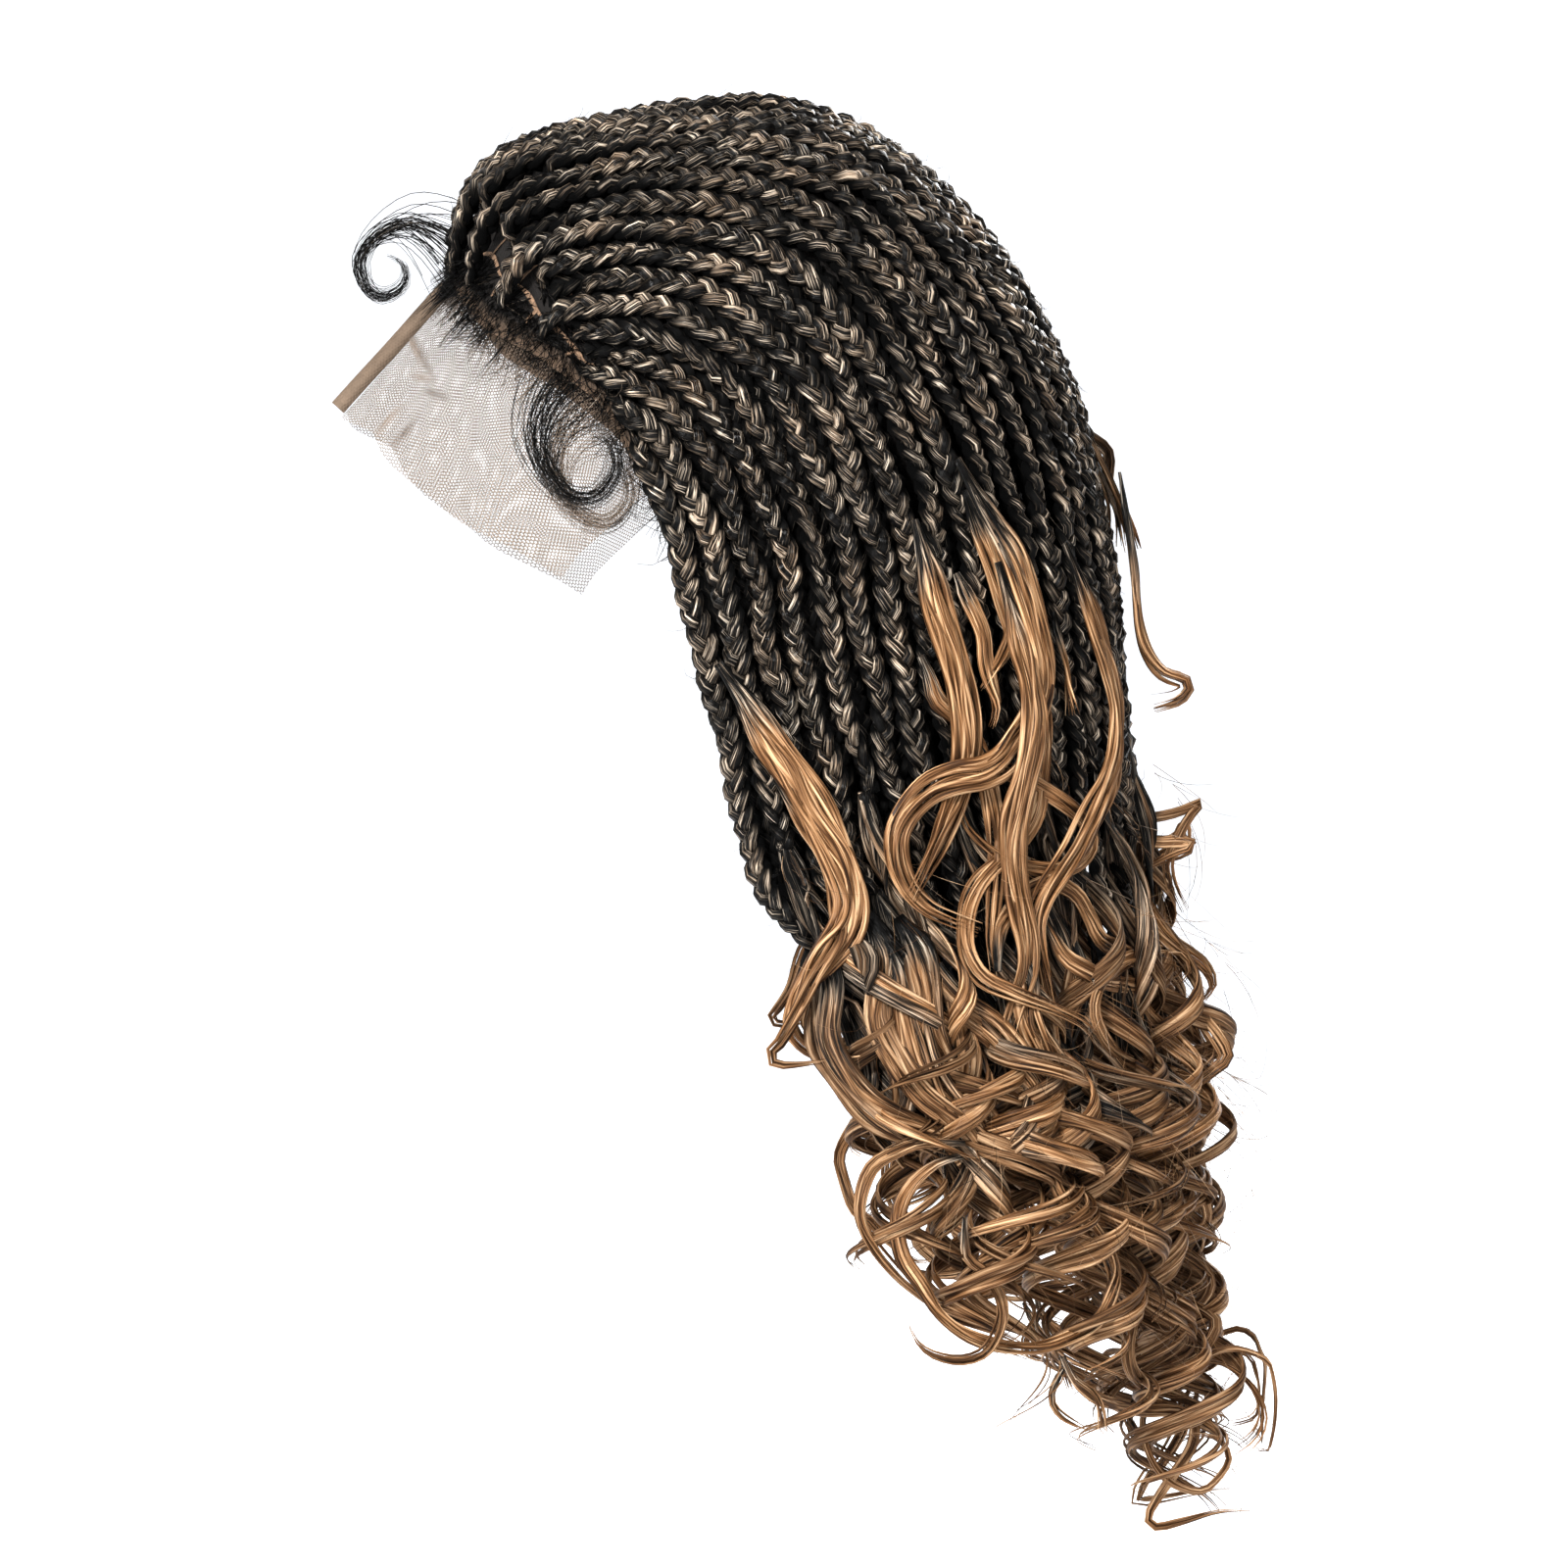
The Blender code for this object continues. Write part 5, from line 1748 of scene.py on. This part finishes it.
@dataclass
class RootHairs:
    """Short hairs that run over the cap into each braid's root, and the fringe along the rim."""

    wig: Wig
    a_root: int = 72
    fringe: int = 2500
    radius: float = 0.00026
    fringe_radius: float = 0.00018
    tone: float = 0.22
    fringe_tone: float = 0.12

    def at_roots(self) -> Array:
        """The short hairs of the left side.

        Returns:
            The points of each hair.
        """
        rng, fan = self.wig.rng, self.wig.fan
        head, found = fan.head, []
        for number in range(fan.count):
            row = fan.root_rows[number % len(fan.root_rows)]
            spread = 0.5 * len(fan.root_rows) / fan.count
            around = rng.uniform(0.0, 2 * math.pi, self.a_root)
            away = np.sqrt(rng.uniform(0.25, 1.0, self.a_root))
            for turn, far in zip(around, away):
                place = float(np.clip(fan.share(number) + spread * far * math.cos(turn), 0.0, 1.0))
                at = np.clip(np.array([row + 0.55 * far * math.sin(turn) + 0.15]), -0.3, None)
                start = head.on(fan.points(place, at), head.wall + 0.0002)[0]
                root = self.wig.lines[number][0] + 0.0012 * rng.normal(size=3)
                middle = head.on(((start + root) / 2)[None], head.wall + rng.uniform(0.0005, 0.0016))[0]
                found.append(np.array([start, middle, root]))
        return np.array([spline_rows(hair, np.linspace(0.0, 2.0, 4)) for hair in found])

    def along_rim(self) -> Array:
        """The fringe on both sides.

        Returns:
            The points of each hair.
        """
        rng, head = self.wig.rng, self.wig.fan.head
        azimuths = 78.0 * rng.choice((-1.0, 1.0), self.fringe) * rng.uniform(0.0, 1.0, self.fringe) ** 1.3
        lower = rng.uniform(-0.016, 0.002, self.fringe)
        starts = np.array([head.rim_point(a, head.wall + 0.0004, b) for a, b in zip(azimuths, lower)])
        below = np.array([head.rim_point(a, head.wall + 0.0015, b + 0.004) for a, b in zip(azimuths, lower)])
        beside = np.array([head.rim_point(a + 2.0, head.wall, b) for a, b in zip(azimuths, lower)]) - starts
        down, out = unit(below - starts), head.outward(starts)
        ways = down + unit(beside) * rng.normal(0.0, 0.7, (self.fringe, 1)) + out * 0.25
        lengths = 0.003 + 0.015 * rng.uniform(0.0, 1.0, self.fringe) ** 2
        return wisps(starts, ways, out, lengths, rng.normal(0.0, 1.3, self.fringe), 4)

    def build(self) -> bpy.types.Object:
        """Makes the hairs.

        Returns:
            The object.
        """
        rng = self.wig.rng
        mesh = StrandMesh("root_hairs", rng)
        hairs = self.at_roots()
        for side in Side:
            add_hairs(mesh, mirrored(hairs, side), self.radius, self.tone, rng)
        add_hairs(mesh, self.along_rim(), self.fringe_radius, self.fringe_tone, rng)
        return mesh.build(self.wig.hair, "black_hair", [])


@dataclass(frozen=True)
class EdgeCurl:
    """A curl of edge hair in the side view: millimetres behind the crown's axis and below the crown."""

    node: str
    path: tuple
    middle: tuple
    hairs: int
    across: float


FRONT_CURL = (
    (-88, 44), (-98, 35), (-108, 31), (-118, 35), (-124, 43), (-122, 52), (-116, 56), (-109, 52), (-109, 45),
    (-115, 42),
)
SIDE_CURL = (
    (-52, 84), (-60, 92), (-64, 103), (-61, 115), (-53, 123), (-44, 123), (-38, 115), (-39, 106), (-45, 102),
)
EDGE_CURLS = (
    EdgeCurl("edge_curl_front", FRONT_CURL, (-114, 44), 60, 0.0115),
    EdgeCurl("edge_curl_left", SIDE_CURL, (-50, 109), 60, 0.0),
    EdgeCurl("edge_curl_right", SIDE_CURL, (-50, 109), 60, 0.0),
)


@dataclass
class EdgeHair:
    """The curls of fine hair that lie on the lace in front of the roots."""

    wig: Wig
    panel: LacePanel
    radius: float = 0.00016
    rings: int = 20
    fan_out: float = 6.5
    tone: float = 0.12

    def build(self, curl: EdgeCurl) -> bpy.types.Object:
        """Makes one curl.

        Args:
            curl: the curl.

        Returns:
            The object.
        """
        rng = self.wig.rng
        mesh = StrandMesh(curl.node.replace("edge_curl", "edge_hair"), rng)
        grid, middle = self.panel.grid(), np.array(curl.middle, float)
        hairs = []
        for _ in range(curl.hairs):
            path = np.array(curl.path, float)
            near = np.linspace(0.0, 1.0, len(path))[:, None]
            scale = 1.0 + rng.normal(0.0, 0.07) * (1.0 + 0.6 * near)
            path = middle + (path - middle) * scale + rng.normal(0.0, 0.5, 2)
            path = path + self.fan_out * rng.normal(0.0, 1.0, 2) * (1.0 - near) ** 3
            last = rng.uniform(0.74, 1.0) * (len(path) - 1.0)
            path = spline_rows(path, np.linspace(0.0, last, self.rings)) / 1000.0
            if curl.across:
                across = np.full(len(path), curl.across + rng.normal(0.0, 0.0022))
            else:
                far = np.hypot(grid[None, :, 1] - path[:, :1], grid[None, :, 2] + path[:, 1:])
                across = grid[np.argmin(far, axis=1), 0] + rng.uniform(0.0012, 0.0040)
            line = np.stack([across, path[:, 0], -path[:, 1]], axis=1)
            hairs.append(as_seen(line))
        side = Side.RIGHT if curl.node.endswith("right") else Side.LEFT
        add_hairs(mesh, mirrored(np.array(hairs), side), self.radius, self.tone, rng)
        return mesh.build(self.wig.hair, "black_hair", [curl.node])


@dataclass
class Flyaways:
    """Loose thin hairs that stand off the plaits and the curls."""

    wig: Wig
    on_plaits: int = 30
    on_curls: int = 27
    radius: float = 0.00009

    def build(self) -> bpy.types.Object:
        """Makes the loose hairs.

        Returns:
            The object.
        """
        rng, fan = self.wig.rng, self.wig.fan
        mesh = StrandMesh("flyaway_hairs", rng)
        for side in Side:
            for number in range(fan.count):
                count = self.wig.plait_counts[number]
                line = self.wig.lines[number]
                for part, many, low, high, stand, tone, rings in (
                    (line[:count], self.on_plaits, 0.003, 0.011, 0.0032, 0.25, 4),
                    (line[count:], self.on_curls, 0.012, 0.045, 0.0020, 0.75, 8),
                ):
                    at = rng.uniform(0.0, len(part) - 1.0, many)
                    places = spline_rows(part, at)
                    ahead = unit(spline_rows(part, at + 0.2) - spline_rows(part, at - 0.2))
                    out = fan.head.outward(places)
                    aside = np.cross(ahead, out) * rng.uniform(-1.0, 1.0, (many, 1))
                    ways = ahead + aside + out * rng.uniform(0.0, 0.8, (many, 1))
                    axes = out + 0.5 * rng.normal(size=(many, 3))
                    lengths = rng.uniform(low, high, many)
                    turns = rng.normal(0.0, 1.6, many)
                    starts = places + unit(out + aside) * stand
                    hairs = wisps(starts, ways, axes, lengths, turns, rings)
                    add_hairs(mesh, mirrored(hairs, side), self.radius, tone, rng)
        return mesh.build(self.wig.hair, "black_hair", [])


# Cap and lace

@dataclass
class Partings:
    """The bare lines of the cap between the boxes of hair that the braids are gathered from."""

    wig: Wig
    half_width: float = 0.0011

    def lines(self) -> list[Array]:
        """The lines of the left side.

        Returns:
            The points of each line.
        """
        fan = self.wig.fan
        head, found = fan.head, []
        count = len(fan.root_rows)
        for at in np.arange(0.0, count) + 0.5:
            places = np.linspace(0.0, 1.0, 60)
            rows = [np.array([at + 0.06 * math.sin(31.0 * place)]) for place in places]
            found.append(np.array([fan.points(float(place), row)[0] for place, row in zip(places, rows)]))
        for number in range(-1, fan.count):
            row = fan.root_rows[number % count]
            place = float(np.clip(fan.share(number) + 0.5 * count / fan.count, 0.0, 1.0))
            found.append(fan.points(place, np.linspace(max(row - 0.5, 0.0), row + 0.5, 9)))
        return [head.on(line, head.wall + 0.0002) for line in found]

    def build(self, material: bpy.types.Material) -> bpy.types.Object:
        """Makes the lines as thin strips.

        Args:
            material: the finish.

        Returns:
            The object.
        """
        rng = self.wig.rng
        mesh = StrandMesh("cap_partings", rng)
        for side in Side:
            for line in self.lines():
                line = mirrored(smooth_line(line, 0.0015), side)[None]
                wide = self.half_width * (1.0 + 0.25 * Wander(rng).at(lengths_along(line[0]), 0.02))[None]
                thick = np.full_like(wide, 0.00012)
                up = self.wig.fan.head.outward(line[0])[None]
                mesh.add(line, up, wide, thick, 4, np.ones_like(wide), np.ones(1))
        return mesh.build(material, "brown_net", [])


@dataclass
class Cap:
    """The net dome that carries the braids."""

    head: HeadForm
    columns: int = 120
    levels: int = 32
    # Heights over the rim where the hair's base starts and is full, and azimuths where the open net ends
    bare: tuple = (0.001, 0.007)
    front: tuple = (70.0, 85.0)

    def surface(self, room: float) -> Array:
        """Rows of points from the crown to the rim, at a height over the head.

        Args:
            room: the height over the head.

        Returns:
            The rows.
        """
        rows = []
        for level in range(self.levels + 1):
            row = []
            for i in range(self.columns):
                azimuth = (360.0 * i / self.columns + 180.0) % 360.0 - 180.0
                spoke = self.head.rim_point(azimuth, 0.0) - self.head.centre
                tilt = math.acos(spoke[2] / np.linalg.norm(spoke)) * max(level, 0.02) / self.levels
                turn, flat = math.radians(azimuth), math.sin(tilt)
                way = np.array([[flat * math.sin(turn), -flat * math.cos(turn), math.cos(tilt)]])
                row.append(self.head.centre + way[0] * self.head.reach(way, room)[0])
            rows.append(row)
        return np.array(rows)

    def build(self, material: bpy.types.Material) -> bpy.types.Object:
        """Makes the cap as a shell, in and out.

        Args:
            material: the finish.

        Returns:
            The object.
        """
        outer, inner = self.surface(self.head.wall), self.surface(0.0)
        rows = np.concatenate([outer, inner[::-1]])
        mesh = sheet_mesh("cap_net", rows, closed=True)
        flat = rows.reshape(-1, 3)
        set_points(mesh, "weave", flat * np.array([1.0, 1.0, 0.0]) + flat[:, 2:] * np.array([0.4, 0.7, 0.0]))
        azimuths = np.degrees(np.arctan2(np.abs(flat[:, 0]), -flat[:, 1]))
        rims = np.array([self.head.rim_point(azimuth, 0.0)[2] for azimuth in azimuths])
        front = 1.0 - smoothstep(*self.front, azimuths)
        set_points(mesh, "dense", 1.0 - front * (1.0 - smoothstep(*self.bare, flat[:, 2] - rims)))
        return dress(mesh, material, ["lace_cap"])


@dataclass
class Lace:
    """The front panel of net and the dense strip along its middle."""

    panel: LacePanel
    columns: int = 168
    levels: int = 54
    flat: tuple = (0.255, 0.056)
    ripple: float = 0.0012
    lift: float = 0.0011
    # Corners of the strip's section: across, and out from the fold
    band_ring: tuple = ((-0.0005, -0.0004), (-0.0004, 0.0046), (0.0004, 0.0049), (0.0005, -0.0004))
    # Creases in the side view: millimetres behind the crown's axis and below the crown
    creases: tuple = (((-108, 66), (-101, 81)), ((-104, 85), (-97, 87)), ((-107, 95), (-116, 105)))

    def crease(self, points: Array) -> Array:
        """How near each point lies to a crease, from 0 to 1.

        Args:
            points: points of the panel.

        Returns:
            A share for each point.
        """
        flat, found = points[:, 1:] * np.array([1.0, -1.0]), np.zeros(len(points))
        for ends in self.creases:
            low, high = np.array(ends, float) / 1000.0
            share = np.clip(((flat - low) @ (high - low)) / ((high - low) @ (high - low)), 0.0, 1.0)
            far = np.linalg.norm(flat - low - share[:, None] * (high - low), axis=1)
            found = np.maximum(found, np.exp(-((far / 0.0011) ** 2)) * np.sin(math.pi * (0.1 + 0.8 * share)))
        return found

    def build(self, material: bpy.types.Material) -> bpy.types.Object:
        """Makes the panel.

        Args:
            material: the finish.

        Returns:
            The object.
        """
        most = self.panel.rays[-1][0]
        rows, weave = [], []
        azimuths = [most * (2.0 * i / self.columns - 1.0) for i in range(self.columns + 1)]
        arcs = [self.panel.arc(azimuth) for azimuth in azimuths]
        rays = [self.panel.ray(azimuth) for azimuth in azimuths]
        for level in range(self.levels + 1):
            share = level / self.levels
            row, flat = [], []
            for azimuth, arc, (start, direction, reach) in zip(azimuths, arcs, rays):
                ripple = self.ripple * share * math.sin(0.35 * azimuth + 2.0 * share)
                lift = self.lift * (1.0 - share) ** 8
                row.append(start + direction * (reach * share - lift) + np.array([0.0, ripple, 0.0]))
                flat.append((arc, reach * share, 0.0))
            rows.append(row)
            weave.append(flat)
        flat = np.array(rows).reshape(-1, 3)
        near = self.crease(flat)
        rows = (flat + near[:, None] * np.array([0.0010, -0.0006, 0.0])).reshape(np.array(rows).shape)
        mesh = sheet_mesh("front_lace_net", rows, closed=False)
        set_points(mesh, "weave", np.array(weave).reshape(-1, 3))
        set_points(mesh, "dense", 0.75 * near)
        made = dress(mesh, material, ["front_lace"])
        return made

    def build_band(self, material: bpy.types.Material) -> bpy.types.Object:
        """Makes the strip.

        Args:
            material: the finish.

        Returns:
            The object.
        """
        start, direction, reach = self.panel.ray(0.0)
        up = unit(np.cross(np.array([1.0, 0.0, 0.0]), direction))
        up = up if up[1] < 0 else -up
        rows = []
        for along in np.linspace(0.06, 1.0, 60):
            across = 0.0006 * math.sin(9.0 * along)
            place = start + direction * reach * along
            row = []
            for x, height in self.band_ring:
                row.append(place + up * height + np.array([x + across, 0.0, 0.0]))
            rows.append(row)
        mesh = sheet_mesh("lace_band", np.array(rows), closed=True)
        flat = np.array(rows).reshape(-1, 3)
        set_points(mesh, "weave", np.stack([flat[:, 1], flat[:, 2], 0 * flat[:, 0]], axis=1))
        set_points(mesh, "dense", np.ones(len(flat)))
        return dress(mesh, material, ["lace_edge_band"])


# Studio

@dataclass(frozen=True)
class Lamp:
    """A square soft light: where it stands, the point that it faces, its side and its power in watts."""

    name: str
    place: tuple
    aim: tuple
    size: float
    power: float

    def build(self) -> None:
        """Adds the light."""
        data = bpy.data.lights.new(self.name, "AREA")
        data.size, data.energy = self.size, self.power
        made = bpy.data.objects.new(self.name, data)
        made.location = self.place
        made.rotation_euler = (Vector(self.aim) - Vector(self.place)).to_track_quat("-Z", "Y").to_euler()
        bpy.context.scene.collection.objects.link(made)


LAMPS = (
    Lamp("key", (1.7, -0.75, 0.55), (0.0, 0.02, -0.15), 0.40, 66.0),
    Lamp("fill", (1.7, 0.9, 0.15), (0.0, 0.05, -0.25), 0.6, 16.0),
    Lamp("top", (0.5, 0.1, 1.5), (0.0, 0.03, 0.0), 0.6, 24.0),
    Lamp("back", (-1.6, 0.9, 0.9), (0.0, 0.02, -0.2), 0.7, 30.0),
    Lamp("front", (-0.9, -1.7, 0.5), (0.0, 0.02, -0.2), 0.7, 16.0),
)


@dataclass(frozen=True)
class Studio:
    """White floor and sweep, soft lights and the camera square to the wearer's left."""

    distance: float = 1.7
    frame_width: float = 0.528
    aim: tuple = (0.019, -0.220)
    sensor: float = 36.0
    floor: float = -0.503
    sweep: float = 1.2
    sweep_at: float = -2.0
    ambient: float = 0.05
    gamma: float = 0.84

    def build(self) -> None:
        """Sets up the floor, the lights, the world and the camera."""
        self.build_floor()
        for lamp in LAMPS:
            lamp.build()
        self.build_world()
        self.build_camera()
        bpy.context.scene.view_settings.view_transform = "Standard"
        bpy.context.scene.view_settings.gamma = self.gamma

    def build_world(self) -> None:
        """A white surround that lights the wig only faintly."""
        world = bpy.context.scene.world or bpy.data.worlds.new("studio")
        bpy.context.scene.world = world
        nodes, white = Nodes(world), opaque((1.0, 1.0, 1.0))
        seen = nodes.add("ShaderNodeBackground", {}, {"Color": white, "Strength": 1.0})
        around = nodes.add("ShaderNodeBackground", {}, {"Color": white, "Strength": self.ambient})
        straight = nodes.add("ShaderNodeLightPath", {}, {}, "Is Camera Ray")
        mixed = nodes.add("ShaderNodeMixShader", {}, {0: straight, 1: around, 2: seen})
        nodes.end("ShaderNodeOutputWorld", mixed)

    def build_camera(self) -> None:
        """The camera, level and square to the wearer's left."""
        data = bpy.data.cameras.new("camera")
        data.sensor_width = self.sensor
        data.lens = self.sensor * self.distance / self.frame_width
        data.clip_start, data.clip_end = 0.05, 50.0
        camera = bpy.data.objects.new("camera", data)
        camera.location = (self.distance, *self.aim)
        camera.rotation_euler = (math.pi / 2, 0.0, math.pi / 2)
        bpy.context.scene.collection.objects.link(camera)
        bpy.context.scene.camera = camera

    def build_floor(self) -> None:
        """A floor that sweeps up far behind the wig."""
        turns, bend = np.radians(np.linspace(0.0, 90.0, 16)), self.sweep
        curve = [(self.sweep_at - bend * math.sin(turn), bend * (1 - math.cos(turn))) for turn in turns]
        profile = [(3.0, 0.0), *curve, (self.sweep_at - bend, 4.0)]
        rows = np.array([[(x, y, self.floor + z) for y in (-4.0, 4.0)] for x, z in profile])
        mesh = sheet_mesh("studio_floor", rows, closed=False)
        mesh.materials.append(StudioFinish().material())
        made = bpy.data.objects.new("studio_floor", mesh)
        bpy.context.scene.collection.objects.link(made)


def main() -> None:
    """Builds the wig's looks and the studio, piece after piece."""
    logging.basicConfig(level=logging.INFO, format="%(message)s")
    Studio().build()
    head = HeadForm()
    fan = BraidFan(head)
    wig = Wig(fan, Curtain(fan), HairFinish().material(), np.random.default_rng(SEED))
    wig.lay()
    for side in Side:
        for zone in Zone:
            OuterPlaits(wig, side, zone).build()
            Curls(wig, side, zone).build()
        FreeTresses(wig, side).build()
    LooseLocks(wig).build()
    InnerPlaits(wig).build()
    RootHairs(wig).build()
    Flyaways(wig).build()
    net = NetFinish("cap_net", (0.20, 0.135, 0.09), backed=(0.009, 0.0065, 0.005), clear=False).material()
    Cap(head).build(net)
    Partings(wig).build(PartingFinish().material())
    panel = LacePanel(head)
    lace = Lace(panel)
    lace.build(NetFinish("front_lace", (0.19, 0.145, 0.11)).material())
    lace.build_band(NetFinish("lace_band", (0.165, 0.12, 0.085), clear=False).material())
    edge = EdgeHair(wig, panel)
    for curl in EDGE_CURLS:
        edge.build(curl)


if __name__ == "__main__":
    main()
